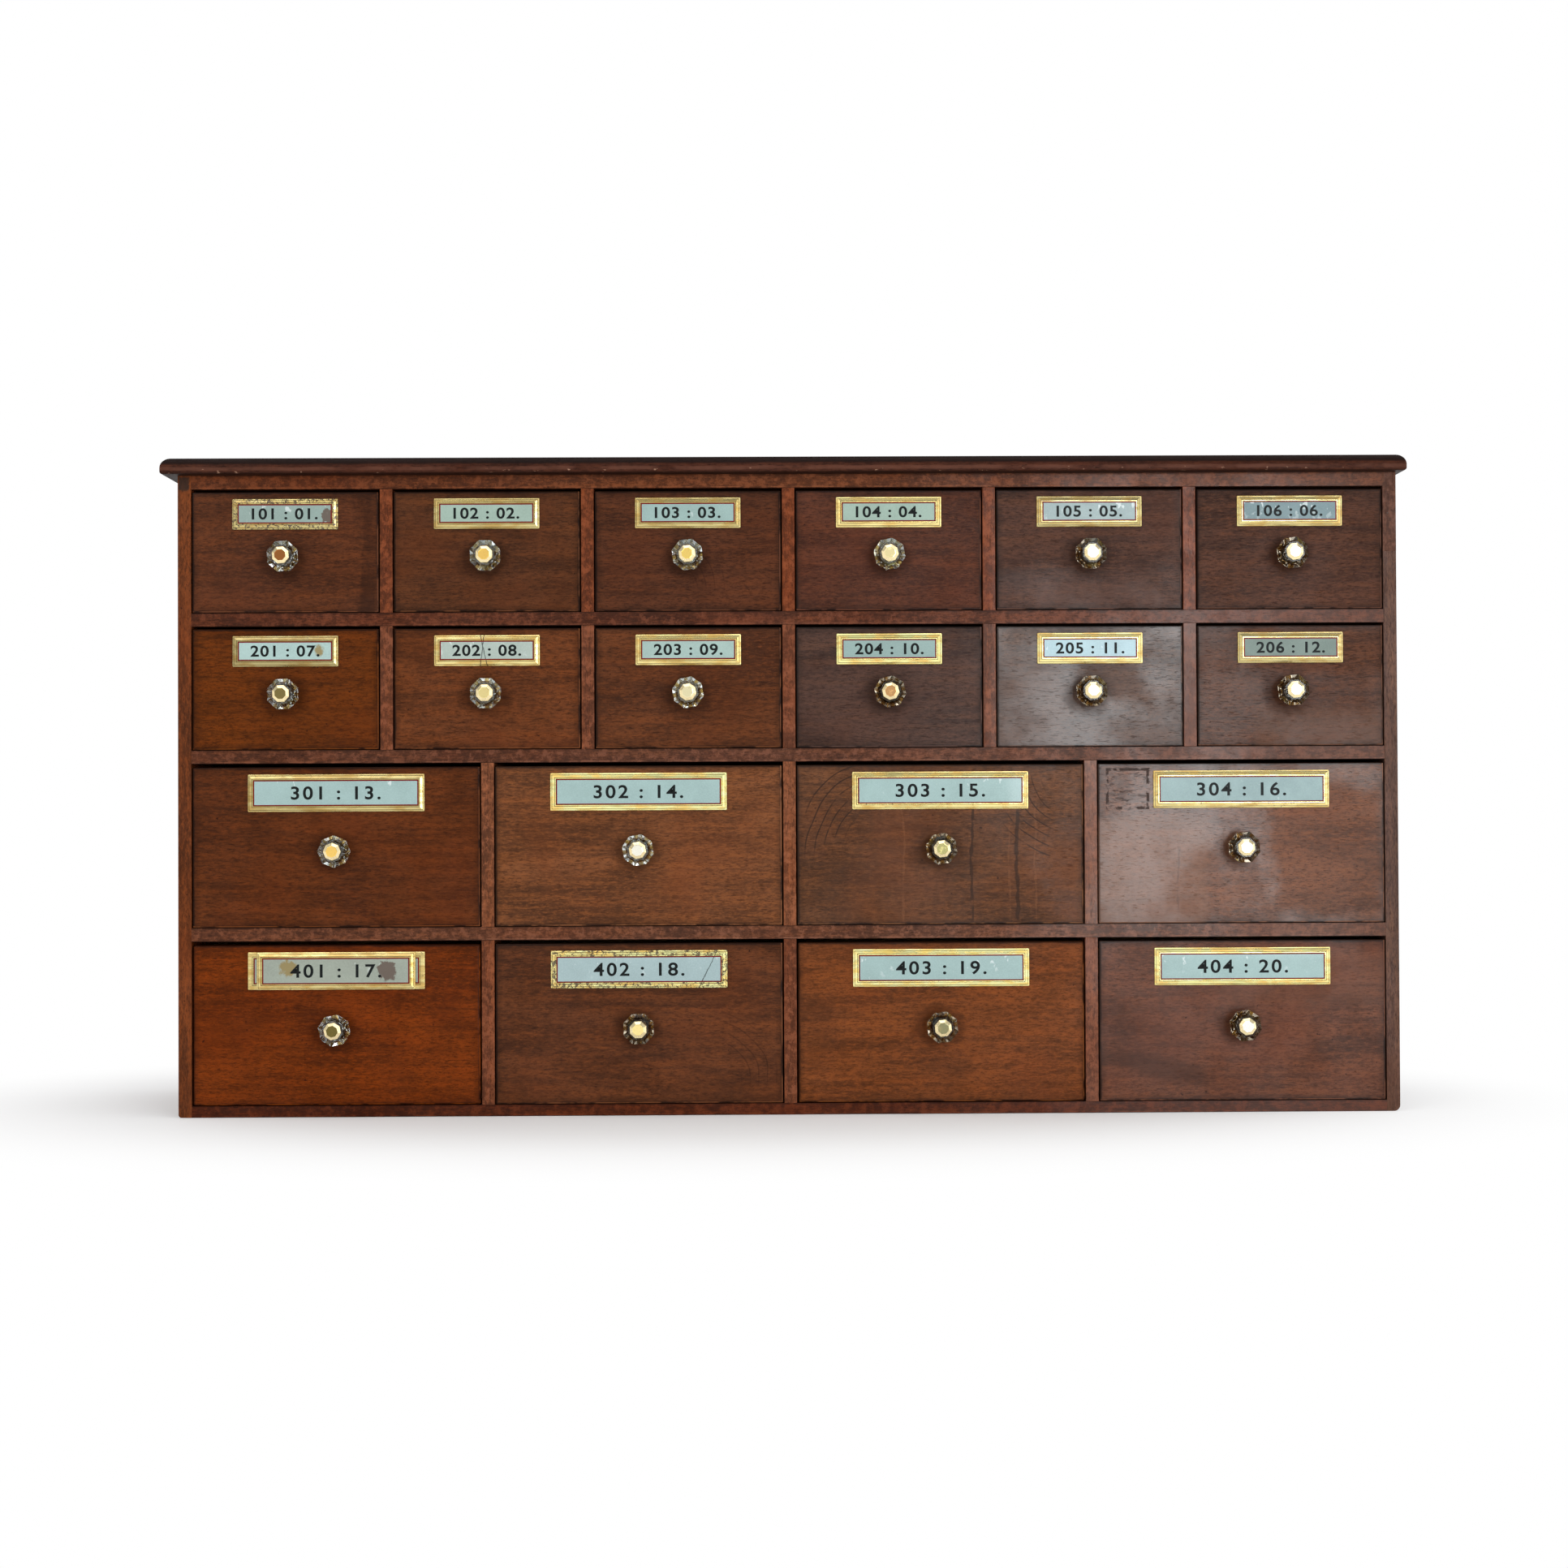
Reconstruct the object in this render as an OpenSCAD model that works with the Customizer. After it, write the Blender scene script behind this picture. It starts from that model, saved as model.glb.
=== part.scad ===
// Bank of apothecary's drawers: a mahogany carcass that stands on a counter or shelf, with two rows
// of small drawers over two rows of large ones. Each drawer has a cut-glass knob on a brass bolt and
// a bevelled glass label. Millimetres; the origin is the middle of the underside, the drawers face -Y.

/* [Carcass] */
// Width of the carcass outside its two sides
body_w = 1201; // [1000:1:1400]
// Depth of the carcass, from the front edges to the back boards
body_d = 240; // [220:1:320]
// Thickness of each side
side_t = 13; // [12:0.5:18]
// Thickness of the upright dividers
divider_t = 12.5; // [10:0.5:16]
// Thickness of the three shelves between the rows
shelf_t = 13; // [12:0.5:18]
// Thickness of the bottom board
bottom_t = 11; // [10:0.5:16]
// Thickness of the sub-top that closes the first row
sub_top_t = 13.5; // [12:0.5:18]
// Radius worn on the left foot's outer corner
left_foot_r = 3; // [1:0.5:6]
// Radius worn on the right foot's outer corner
right_foot_r = 6; // [1:0.5:8]
// Height of the opening for a small drawer
small_open_h = 122; // [118:1:150]
// Height of the opening for a large drawer
large_open_h = 161.5; // [158:0.5:200]
// Drawers in each of the two upper rows
small_columns = 6; // [4:1:6]
// Drawers in each of the two lower rows
large_columns = 4; // [3:1:4]

/* [Top board] */
// Thickness of the moulded top board
top_t = 16.5; // [16:0.5:22]
// How far the top stands out over the drawers
top_over_front = 14; // [10:0.5:20]
// How far the top stands out over the left side
top_over_left = 14.5; // [6:0.5:20]
// How far the top stands out over the right side
top_over_right = 7.5; // [6:0.5:20]
// Height of the quarter round along the top's edge
mould_h = 11; // [8:0.5:12]
// Width of the quarter round, from above
mould_w = 10; // [6:0.5:12]
// Radius of the small round on the mould's lower edge
nose_r = 2.5; // [1:0.5:4]

/* [Drawers] */
// Free space behind a closed drawer
behind_gap = 6; // [3:1:20]
// Thickness of a drawer front
front_t = 15; // [13:0.5:19]
// Thickness of the drawer sides and back
lining_t = 7; // [6:0.5:10]
// Thickness of the drawer bottom
floor_t = 5; // [4:0.5:6]
// Running gap on each side of a drawer
side_gap = 1; // [0.5:0.1:2]
// Running gap under a drawer
under_gap = 0.4; // [0.3:0.1:1]
// Gap over a small drawer
small_top_gap = 2.6; // [1:0.1:4]
// Gap over a large drawer
large_top_gap = 3.6; // [1:0.1:5]

/* [Knobs] */
// Width of the glass knob across its corners
knob_across = 32; // [26:1:38]
// How far the glass stands out of the drawer front
knob_reach = 24; // [20:1:30]
// Width of the brass bolt head across its corners
head_across = 17.5; // [14:0.5:20]
// Height of the brass bolt head
head_h = 3.6; // [3:0.2:5]
// Diameter of the bolt's shank
bolt_d = 5; // [4:0.5:6]
// Height of a small drawer's knob over the drawer's lower edge
small_knob_z = 54.2; // [45:0.1:56]
// Height of a large drawer's knob over the drawer's lower edge
large_knob_z = 74.7; // [60:0.1:84]

/* [Labels] */
// Width of a small drawer's label
small_label_w = 104; // [80:1:120]
// Height of a small drawer's label
small_label_h = 30.5; // [24:0.5:34]
// Width of a large drawer's label
large_label_w = 173.5; // [140:0.5:200]
// Height of a large drawer's label
large_label_h = 37; // [30:0.5:42]
// Width of the later, shorter plate on the one drawer that has two
short_label_w = 155.5; // [120:0.5:160]
// Thickness of a label's glass
label_t = 3; // [2:0.5:4]
// Middle of a small label over the drawer's lower edge
small_label_z = 97; // [92:0.5:97]
// Middle of a large label over the drawer's lower edge
large_label_z = 132; // [125:0.5:133]

/* [Hidden] */
// Joinery
glue_line = 0.1;          // room left between two pieces that are glued or screwed together
cut_past = 1;             // how far a cutting shape runs past the surface that it cuts
side_housing = 5;         // depth that shelves are let into the sides
divider_housing = 3;      // depth that dividers are let into shelves
housing_stop = 12;        // housings stop this far behind the front edges
back_t = 8;               // thickness of the back boards
back_rebate_w = 7;        // width of the sides' rebate that takes the back boards
back_board_count = 4;
back_lap = 5;             // overlap of one back board on the next
back_seam = 0.5;          // open joint between two back boards
front_lap = 4;            // wood left in front of a drawer's dovetails
groove_d = 3.5;           // depth of the grooves for a drawer bottom
floor_z = 6;              // underside of a drawer bottom over the drawer's lower edge
side_drop = 2;            // a drawer's sides are this much lower than its front
back_drop = 7;            // and its back is this much lower
tail_pitch = 39;          // rough distance from one dovetail to the next
tail_share = 0.64;        // share of that distance that the root of a dovetail takes
tail_flare = 2;           // how much wider a dovetail is at its tip, on each edge
// Stops that the drawer fronts come up against
stop_w = 22;
stop_l = 12;
stop_h = 4;
stop_gap = 0.3;
// Iron and brass
nail_head = 4;
nail_head_t = 1;
nail_shank = 1.8;
nail_l = 26;
screw_head_d = 8;
screw_d = 4;
screw_l = 25;
patch_h = 78;             // height of the piece let into the right side's front edge
patch_l = 10;             // and its depth
pin_d = 1.6;
pin_l = 8;
// Knob and bolt
collar_d = 20;
collar_t = 2;
foot_d = 18;
neck_d = 14;
neck_at = 5;              // distance of the neck from the drawer front
girdle_at = 13;           // distance of the widest place from the drawer front
girdle_t = 3.5;
table_d = 21;             // width of the glass's flat front, corner to corner
bolt_gap = 0.3;           // play of the bolt in its holes
head_rim = 1.2;           // height of the head's upright edge
head_bevel = 3.2;         // width of the facets round its face
washer_d = 14;
washer_t = 1.2;
nut_across = 10;
nut_t = 4;
bolt_end = 3;             // length of the bolt past its nut
washer_z = -front_t - washer_t;
nut_z = washer_z - glue_line - nut_t;
shank_end = nut_z - bolt_end;
label_bevel_w = 4.2;
label_bevel_drop = 1.4;
under_plate_t = 2;

inner_w = body_w - 2 * side_t;
front_y = -body_d / 2;
back_y = body_d / 2;
inner_back_y = back_y - back_t;
drawer_l = body_d - back_t - behind_gap;

ROW_COLUMNS = [small_columns, small_columns, large_columns, large_columns];
row_h = [small_open_h, small_open_h, large_open_h, large_open_h];
row_top_gap = [small_top_gap, small_top_gap, large_top_gap, large_top_gap];
// Height of the floor of each row, counted from the top row down
row_z = [for (r = [0 : 3]) bottom_t + lower_rows(r + 1) + (3 - r) * shelf_t];
sub_top_z = row_z[0] + row_h[0];
carcass_h = sub_top_z + sub_top_t;

DRAWERS = [for (r = [0 : 3]) for (c = [0 : ROW_COLUMNS[r] - 1]) [r, c]];
drawer_count = len(DRAWERS);
small_count = 2 * small_columns;
relabelled = small_count + large_columns;   // index of the drawer with two plates

// How far each octagonal knob has turned on its bolt, in degrees
knob_turns = [4, 0, 6, 12, 0, 8, 2, 0, 10, 14, 3, 6, 22, 10, 8, 4, 12, 2, 6, 9];

mahogany = "#6b3b25";
dark_mahogany = "#3d2219";
pine = "#b58a5a";
brass = "#d9a94a";
iron = "#4a4744";
clear_glass = "#b9c4c0";
label_gilt = "#cfae62";

// ---- Places worked out from the driving dimensions ----

// Height of all the rows from number r down
function lower_rows(r) = r > 3 ? 0 : row_h[r] + lower_rows(r + 1);
function opening_w(r) = (inner_w - (ROW_COLUMNS[r] - 1) * divider_t) / ROW_COLUMNS[r];
function opening_x(r, c) = -inner_w / 2 + opening_w(r) / 2 + c * (opening_w(r) + divider_t);
function divider_x(r, c) = opening_x(r, c) + (opening_w(r) + divider_t) / 2;

function number(i) = str(i < 9 ? "0" : "", i + 1);
function box_name(i) = str("drawer_", number(i), "_box");
function fittings_name(i) = str("drawer_", number(i), "_fittings");
function is_large(i) = i >= small_count;

function drawer_x(i) = opening_x(DRAWERS[i][0], DRAWERS[i][1]);
function drawer_z(i) = row_z[DRAWERS[i][0]] + under_gap;
function drawer_w(i) = opening_w(DRAWERS[i][0]) - 2 * side_gap;
function drawer_h(i) = row_h[DRAWERS[i][0]] - under_gap - row_top_gap[DRAWERS[i][0]];
function knob_z(i) = is_large(i) ? large_knob_z : small_knob_z;
function label_z(i) = is_large(i) ? large_label_z : small_label_z;
function label_w(i) = is_large(i) ? large_label_w : small_label_w;
function label_h(i) = is_large(i) ? large_label_h : small_label_h;

// ---- Carcass ----

// A board that lies between the sides, let into them behind the front edge
module level_board(z, t) {
    translate([-inner_w / 2, front_y, z])
        cube([inner_w, body_d - back_t, t]);
    translate([-inner_w / 2 - side_housing, front_y + housing_stop, z])
        cube([inner_w + 2 * side_housing, body_d - back_t - housing_stop, t]);
}

// The upright dividers of row r, let into the boards above and below
module dividers(r) {
    for (c = [0 : ROW_COLUMNS[r] - 2])
        translate([divider_x(r, c) - divider_t / 2, 0, row_z[r]]) {
            translate([0, front_y, 0])
                cube([divider_t, body_d - back_t, row_h[r]]);
            translate([0, front_y + housing_stop, -divider_housing])
                cube([divider_t, body_d - back_t - housing_stop, row_h[r] + 2 * divider_housing]);
        }
}

// A nail with a square head and shank, its head's face at the origin, driven towards -Y
module nail() {
    translate([-nail_head / 2, -nail_head_t, -nail_head / 2])
        cube([nail_head, nail_head_t, nail_head]);
    translate([-nail_shank / 2, -nail_l, -nail_shank / 2])
        cube([nail_shank, nail_l, nail_shank]);
}

back_w = inner_w + 2 * back_rebate_w;
back_board_h = carcass_h / back_board_count;
shelf_mid_z = [bottom_t / 2, for (r = [2 : -1 : 0]) row_z[r] - shelf_t / 2, sub_top_z + sub_top_t / 2];
nails_across = 6;
nail_rows_in_sides = 2 * back_board_count;

module back_nails() {
    color(iron) {
        for (z = shelf_mid_z)
            for (k = [1 : nails_across])
                translate([inner_w * (k / (nails_across + 1) - 0.5), back_y, z]) nail();
        for (side = [-1, 1])
            for (k = [0 : nail_rows_in_sides - 1])
                translate([side * (inner_w / 2 + back_rebate_w / 2), back_y,
                           carcass_h * (k + 0.5) / nail_rows_in_sides]) nail();
    }
}

// One board across the back, its upper edge lapped inside the board above it
module back_board(k) {
    low = k * back_board_h;
    high = low + back_board_h;
    is_last = k == back_board_count - 1;
    inner_low = low + (k > 0 ? back_lap : 0);
    outer_high = high - (is_last ? 0 : back_seam);
    translate([-back_w / 2, inner_back_y, inner_low])
        cube([back_w, back_t / 2, high - inner_low]);
    translate([-back_w / 2, inner_back_y + back_t / 2, low])
        cube([back_w, back_t / 2, outer_high - low]);
    if (!is_last)
        translate([-back_w / 2, inner_back_y, high - 1])
            cube([back_w, back_t / 2 - glue_line, back_lap - back_seam + 1]);
}

module back_boards() {
    color(pine)
        for (k = [0 : back_board_count - 1])
            difference() {
                back_board(k);
                back_nails();
            }
}

// What wear has taken off the outer lower corner of a side
module worn_foot(side, r) {
    translate([side * (body_w / 2 - r), 0, r])
        difference() {
            translate([side > 0 ? 0 : -r - cut_past, front_y - cut_past, -r - cut_past])
                cube([r + cut_past, body_d + 2 * cut_past, r + cut_past]);
            rotate([90, 0, 0])
                cylinder(r = r, h = 2 * body_d, center = true, $fn = 48);
        }
}

module side_board(side) {
    inner_x = side * inner_w / 2;
    difference() {
        translate([side > 0 ? inner_x : inner_x - side_t, front_y, 0])
            cube([side_t, body_d, carcass_h]);
        boards_between();
        back_boards_outline();
        back_nails();
        worn_foot(side, side > 0 ? right_foot_r : left_foot_r);
        if (side > 0) patch_outline();
    }
}

module boards_between() {
    level_board(0, bottom_t);
    for (r = [0 : 2]) level_board(row_z[r] - shelf_t, shelf_t);
    level_board(sub_top_z, sub_top_t);
}

module back_boards_outline() {
    translate([-back_w / 2, inner_back_y, 0]) cube([back_w, back_t, carcass_h]);
}

module left_side() {
    color(mahogany) side_board(-1);
}

module right_side() {
    color(mahogany) side_board(1);
}

module bottom_board() {
    color(mahogany)
        difference() {
            level_board(0, bottom_t);
            dividers(3);
            back_nails();
        }
}

// Shelf under row r
module shelf(r) {
    color(mahogany)
        difference() {
            level_board(row_z[r] - shelf_t, shelf_t);
            dividers(r);
            dividers(r + 1);
            back_nails();
        }
}

module sub_top() {
    color(mahogany)
        difference() {
            level_board(sub_top_z, sub_top_t);
            dividers(0);
            back_nails();
            top_screws();
        }
}

module row_dividers(r) {
    color(mahogany) dividers(r);
}

// A new piece let into the worn front corner of the right side
module patch_outline() {
    translate([inner_w / 2, front_y, carcass_h - patch_h])
        cube([side_t, patch_l, patch_h]);
}

module stile_patch() {
    color(mahogany)
        difference() {
            patch_outline();
            patch_pins();
        }
}

module patch_pins() {
    color(iron)
        for (place = [[0.38, 0.52], [0.66, 0.48]])
            translate([inner_w / 2 + side_t * place[0], front_y, carcass_h - patch_h * place[1]])
                rotate([-90, 0, 0]) cylinder(d = pin_d, h = pin_l, $fn = 24);
}

// ---- Top board ----

// The board's outline from above, drawn in by a distance on the three moulded edges
module top_slab(inset, z, t) {
    translate([-body_w / 2 - top_over_left + inset, front_y - top_over_front + inset, z])
        cube([body_w + top_over_left + top_over_right - 2 * inset,
              body_d + top_over_front - inset, t]);
}

mould_steps = 7;
nose_steps = 3;
slice_t = 0.05;

module top_board() {
    color(dark_mahogany)
        difference() {
            hull() {
                for (k = [0 : nose_steps]) {
                    angle = 90 * k / nose_steps;
                    top_slab(nose_r * (1 - sin(angle)), carcass_h + nose_r * (1 - cos(angle)), slice_t);
                }
                for (k = [0 : mould_steps]) {
                    angle = 90 * k / mould_steps;
                    top_slab(mould_w * (1 - cos(angle)),
                             carcass_h + top_t - mould_h + (mould_h - slice_t) * sin(angle), slice_t);
                }
            }
            top_screws();
        }
}

// A countersunk wood screw, its head's face at the origin, driven towards +Z
module wood_screw() {
    rotate_extrude($fn = 32)
        polygon([[0, 0], [screw_head_d / 2, 0], [screw_head_d / 2, 0.6], [screw_d / 2, 2.8],
                 [screw_d / 2, screw_l - 5], [0.4, screw_l], [0, screw_l]]);
}

screws_across = small_columns;

module top_screws() {
    color(brass)
        for (c = [0 : screws_across - 1])
            for (y = [front_y + 40, inner_back_y - 40])
                translate([opening_x(0, c), y, sub_top_z]) wood_screw();
}

// ---- Stops ----

module drawer_stops() {
    color(pine)
        for (i = [0 : drawer_count - 1])
            for (side = [-1, 1])
                translate([drawer_x(i) + side * drawer_w(i) / 4 - stop_w / 2,
                           front_y + front_t + stop_gap, row_z[DRAWERS[i][0]]])
                    cube([stop_w, stop_l, stop_h]);
}

// ---- Drawers: x across, y back from the front's face, z up from the lower edge ----

floor_top_z = floor_z + floor_t;

function tail_count(h) = round(h / tail_pitch);
function tail_mid(z0, z1, k) = z0 + (z1 - z0) * (k + 0.5) / tail_count(z1 - z0);
function tail_half(z0, z1) = tail_share / 2 * (z1 - z0) / tail_count(z1 - z0);

// One row of dovetails as points going up from z0 to z1, each smaller all round by the slack
function tails_up(z0, z1, root_y, tip_y, slack) =
    [for (k = [0 : tail_count(z1 - z0) - 1], p = [0 : 3])
        let (m = tail_mid(z0, z1, k), a = tail_half(z0, z1) - slack, b = a + tail_flare)
        [[root_y, m - a], [tip_y, m - b], [tip_y, m + b], [root_y, m + a]][p]];

function reversed(list) = [for (k = [len(list) - 1 : -1 : 0]) list[k]];

// Outline of a drawer side seen from beside it, with its dovetails at both ends
function side_outline(h, slack) =
    let (side_h = h - side_drop, back_top = h - back_drop,
         front_root = front_t + slack, rear_root = drawer_l - lining_t - slack)
    concat([[front_root, 0]],
           tails_up(0, side_h, front_root, front_lap + slack, slack),
           [[front_root, side_h], [drawer_l, side_h], [drawer_l, back_top + slack],
            [rear_root, back_top + slack]],
           reversed(tails_up(floor_top_z, back_top, rear_root, drawer_l, slack)),
           [[rear_root, floor_top_z - slack], [drawer_l, floor_top_z - slack], [drawer_l, 0]]);

module side_blank(w, h, side, t, slack) {
    translate([side > 0 ? w / 2 - t : -w / 2, 0, 0])
        rotate([90, 0, 90]) linear_extrude(t) polygon(side_outline(h, slack));
}

// The space that the two sides take out of the front and the back, run past their ends
module side_sockets(w, h) {
    for (side = [-1, 1])
        side_blank(w + 2 * cut_past, h, side, lining_t + glue_line + cut_past, 0);
}

// The drawer bottom, or with room round it the groove that takes it
module floor_panel(w, room) {
    half = w / 2 - lining_t + groove_d + room;
    near = front_t - groove_d - room;
    translate([-half, near, floor_z - room])
        cube([2 * half, drawer_l - near, floor_t + 2 * room]);
}

module drawer_front(w, h, knob_height) {
    difference() {
        translate([-w / 2, 0, 0]) cube([w, front_t, h]);
        side_sockets(w, h);
        floor_panel(w, glue_line);
        translate([0, -cut_past, knob_height])
            rotate([-90, 0, 0])
                cylinder(d = bolt_d + 2 * bolt_gap, h = front_t + 2 * cut_past, $fn = 32);
    }
}

module drawer_side(w, h, side) {
    difference() {
        side_blank(w, h, side, lining_t, glue_line);
        floor_panel(w, glue_line);
    }
}

module drawer_back(w, h) {
    low = floor_top_z + glue_line;
    difference() {
        translate([-w / 2, drawer_l - lining_t, low])
            cube([w, lining_t, h - back_drop - low]);
        side_sockets(w, h);
    }
}

module drawer_box(i) {
    w = drawer_w(i);
    h = drawer_h(i);
    translate([drawer_x(i), front_y, drawer_z(i)]) {
        color(mahogany) drawer_front(w, h, knob_z(i));
        color(pine) {
            for (side = [-1, 1]) drawer_side(w, h, side);
            drawer_back(w, h);
            floor_panel(w, 0);
        }
    }
}

// One length of the eight-sided knob, between two distances from the drawer front
module cut_stage(from, to, d1, d2) {
    translate([0, 0, from]) cylinder(h = to - from, d1 = d1, d2 = d2, $fn = 8);
}

module glass_knob() {
    difference() {
        union() {
            cut_stage(collar_t + glue_line, neck_at, foot_d, neck_d);
            cut_stage(neck_at, girdle_at, neck_d, knob_across);
            cut_stage(girdle_at, girdle_at + girdle_t, knob_across, knob_across);
            cut_stage(girdle_at + girdle_t, knob_reach, knob_across, table_d);
        }
        cylinder(d = bolt_d + 2 * bolt_gap, h = knob_reach + cut_past, $fn = 32);
    }
}

// The brass bolt: an eight-sided faceted head in front, a plain shank through to the nut
module knob_bolt() {
    head_z = knob_reach + glue_line;
    cut_stage(head_z, head_z + head_rim, head_across, head_across);
    cut_stage(head_z + head_rim, knob_reach + head_h, head_across, head_across - 2 * head_bevel);
    translate([0, 0, shank_end])
        cylinder(d = bolt_d, h = head_z - shank_end, $fn = 32);
}

// A ring round the bolt, its back at a distance from the drawer front
module ring(from, d, t, sides) {
    translate([0, 0, from])
        difference() {
            cylinder(d = d, h = t, $fn = sides);
            translate([0, 0, -cut_past])
                cylinder(d = bolt_d + 2 * bolt_gap, h = t + 2 * cut_past, $fn = 32);
        }
}

// A plate with its four upper edges bevelled, lying with its back at z = 0
module bevelled_plate(w, h, t) {
    hull() {
        translate([-w / 2, -h / 2, 0]) cube([w, h, t - label_bevel_drop]);
        translate([-w / 2 + label_bevel_w, -h / 2 + label_bevel_w, 0])
            cube([w - 2 * label_bevel_w, h - 2 * label_bevel_w, t]);
    }
}

module label_plates(i) {
    if (i == relabelled) {
        translate([-label_w(i) / 2, -label_h(i) / 2, 0])
            cube([label_w(i), label_h(i), under_plate_t]);
        translate([0, 0, under_plate_t + glue_line])
            bevelled_plate(short_label_w, label_h(i), label_t);
    } else
        bevelled_plate(label_w(i), label_h(i), label_t);
}

module drawer_fittings(i) {
    translate([drawer_x(i), front_y, drawer_z(i)]) {
        translate([0, 0, knob_z(i)]) rotate([90, 0, 0]) {
            rotate([0, 0, 22.5 + knob_turns[i]]) {
                color(clear_glass) glass_knob();
                color(brass) knob_bolt();
            }
            color(brass) {
                ring(0, collar_d, collar_t, 32);
                ring(washer_z, washer_d, washer_t, 32);
                ring(nut_z, nut_across, nut_t, 4);
            }
        }
        color(label_gilt)
            translate([0, 0, label_z(i)]) rotate([90, 0, 0]) label_plates(i);
    }
}

top_board();
left_side();
right_side();
bottom_board();
sub_top();
shelf(0);  // shelf_1
shelf(1);  // shelf_2
shelf(2);  // shelf_3
row_dividers(0);  // row_1_dividers
row_dividers(1);  // row_2_dividers
row_dividers(2);  // row_3_dividers
row_dividers(3);  // row_4_dividers
back_boards();
back_nails();
top_screws();
drawer_stops();
stile_patch();
patch_pins();
for (i = [0 : drawer_count - 1]) {
    drawer_box(i);
    drawer_fittings(i);
}
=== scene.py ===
# %% [markdown]
# # A bank of twenty apothecary's drawers
# A low mahogany carcass holds two rows of six small drawers over two rows of four large ones. Each
# drawer has a cut-glass knob on a brass bolt, and a bevelled glass label, gilded and painted on its
# back. This lesson starts from the measured model. It keeps the boards that are already right, makes
# the pieces that show again in finer shape, and gives each its finish. Lengths are in millimetres.

# %% Load the frame
from math import radians

import bmesh
import bpy
from mathutils import Matrix, Vector


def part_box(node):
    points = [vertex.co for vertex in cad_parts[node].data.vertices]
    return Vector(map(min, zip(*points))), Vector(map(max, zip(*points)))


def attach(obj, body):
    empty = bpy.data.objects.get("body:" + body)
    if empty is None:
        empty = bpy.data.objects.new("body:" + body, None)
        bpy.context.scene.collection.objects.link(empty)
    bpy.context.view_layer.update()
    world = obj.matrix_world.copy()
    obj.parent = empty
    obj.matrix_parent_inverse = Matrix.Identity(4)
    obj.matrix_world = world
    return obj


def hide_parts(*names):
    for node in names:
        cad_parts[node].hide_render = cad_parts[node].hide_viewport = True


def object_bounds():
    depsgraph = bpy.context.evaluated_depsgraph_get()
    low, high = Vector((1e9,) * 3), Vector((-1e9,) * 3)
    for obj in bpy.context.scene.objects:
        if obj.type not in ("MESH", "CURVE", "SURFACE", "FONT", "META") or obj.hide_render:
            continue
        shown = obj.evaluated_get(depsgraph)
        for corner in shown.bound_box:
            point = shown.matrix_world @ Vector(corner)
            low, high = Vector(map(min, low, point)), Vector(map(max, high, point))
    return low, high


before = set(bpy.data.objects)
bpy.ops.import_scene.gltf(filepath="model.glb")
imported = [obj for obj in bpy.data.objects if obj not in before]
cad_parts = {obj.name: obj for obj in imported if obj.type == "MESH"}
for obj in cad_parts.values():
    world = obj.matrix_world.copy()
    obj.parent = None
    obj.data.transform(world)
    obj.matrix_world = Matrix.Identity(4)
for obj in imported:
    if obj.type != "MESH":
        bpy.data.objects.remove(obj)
cad_low, cad_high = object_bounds()
MM = 0.001

# %% [markdown]
# ## The camera
# The cabinet is seen almost square on, from a little over two metres. A camera aimed by a constraint
# is hard to roll. Here three turns are multiplied as a tripod makes them: pan, tilt, then roll.

# %% Camera
FRAME_WIDTH = 1932
FOCAL_LENGTH = 2893.7
SENSOR_MM = 36

lens = bpy.data.cameras.new("front_camera")
lens.sensor_width = SENSOR_MM
lens.lens = SENSOR_MM * FOCAL_LENGTH / FRAME_WIDTH
lens.clip_end = 60
camera = bpy.data.objects.new("front_camera", lens)
bpy.context.scene.collection.objects.link(camera)
pan, tilt, roll = radians(-0.513), radians(0.705), radians(-0.263)
camera.matrix_world = (
    Matrix.Translation(Vector((-26, -2431.8, 296.3)) * MM)
    @ Matrix.Rotation(pan, 4, "Z")
    @ Matrix.Rotation(radians(90) + tilt, 4, "X")
    @ Matrix.Rotation(roll, 4, "Z")
)
bpy.context.scene.camera = camera
print("camera lens", round(lens.lens, 1), "mm")

# %% [markdown]
# ## Writing a finish as sums
# A finish is a net of nodes. Drawn by hand it soon tangles, so a small class holds one wire of the
# net. Adding, taking away or multiplying wires makes the Math nodes, and one method makes every
# other kind of node. A finish then reads like the sum that it is.

# %% One wire of a finish
class Wire:
    """One output of a node. Sums of wires and numbers make the Math nodes."""

    def __init__(self, tree, socket=None):
        self.tree = tree
        self.socket = socket

    def node(self, kind, settings=None, inputs=None):
        """Adds a node, makes its settings first, then fills or links its inputs."""
        made = self.tree.nodes.new(kind)
        for key, value in (settings or {}).items():
            setattr(made, key, value)
        for key, value in (inputs or {}).items():
            if isinstance(value, Wire):
                self.tree.links.new(value.socket, made.inputs[key])
            else:
                made.inputs[key].default_value = value
        return Wire(self.tree, next((s for s in made.outputs if s.enabled), None))

    def out(self, name):
        """Another output of the same node."""
        return Wire(self.tree, self.socket.node.outputs[name])

    def sum(self, operation, a, b=0.0):
        return self.node("ShaderNodeMath", {"operation": operation}, {0: a, 1: b})

    def __abs__(self):
        return self.sum("ABSOLUTE", self)


for sign, operation in (("add", "ADD"), ("sub", "SUBTRACT"), ("mul", "MULTIPLY")):
    setattr(Wire, f"__{sign}__", lambda a, b, how=operation: a.sum(how, a, b))
    setattr(Wire, f"__r{sign}__", lambda a, b, how=operation: a.sum(how, b, a))      # number first


def smaller(a, b):
    return a.sum("MINIMUM", a, b)


def larger(a, b):
    return a.sum("MAXIMUM", a, b)


def root(a):
    return a.sum("SQRT", a)


def ease(value, low, high):
    """0 below low, 1 above high, and a smooth slope between."""
    return value.node("ShaderNodeMapRange", {"interpolation_type": "SMOOTHSTEP"},
                      {"Value": value, "From Min": low, "From Max": high})


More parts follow.
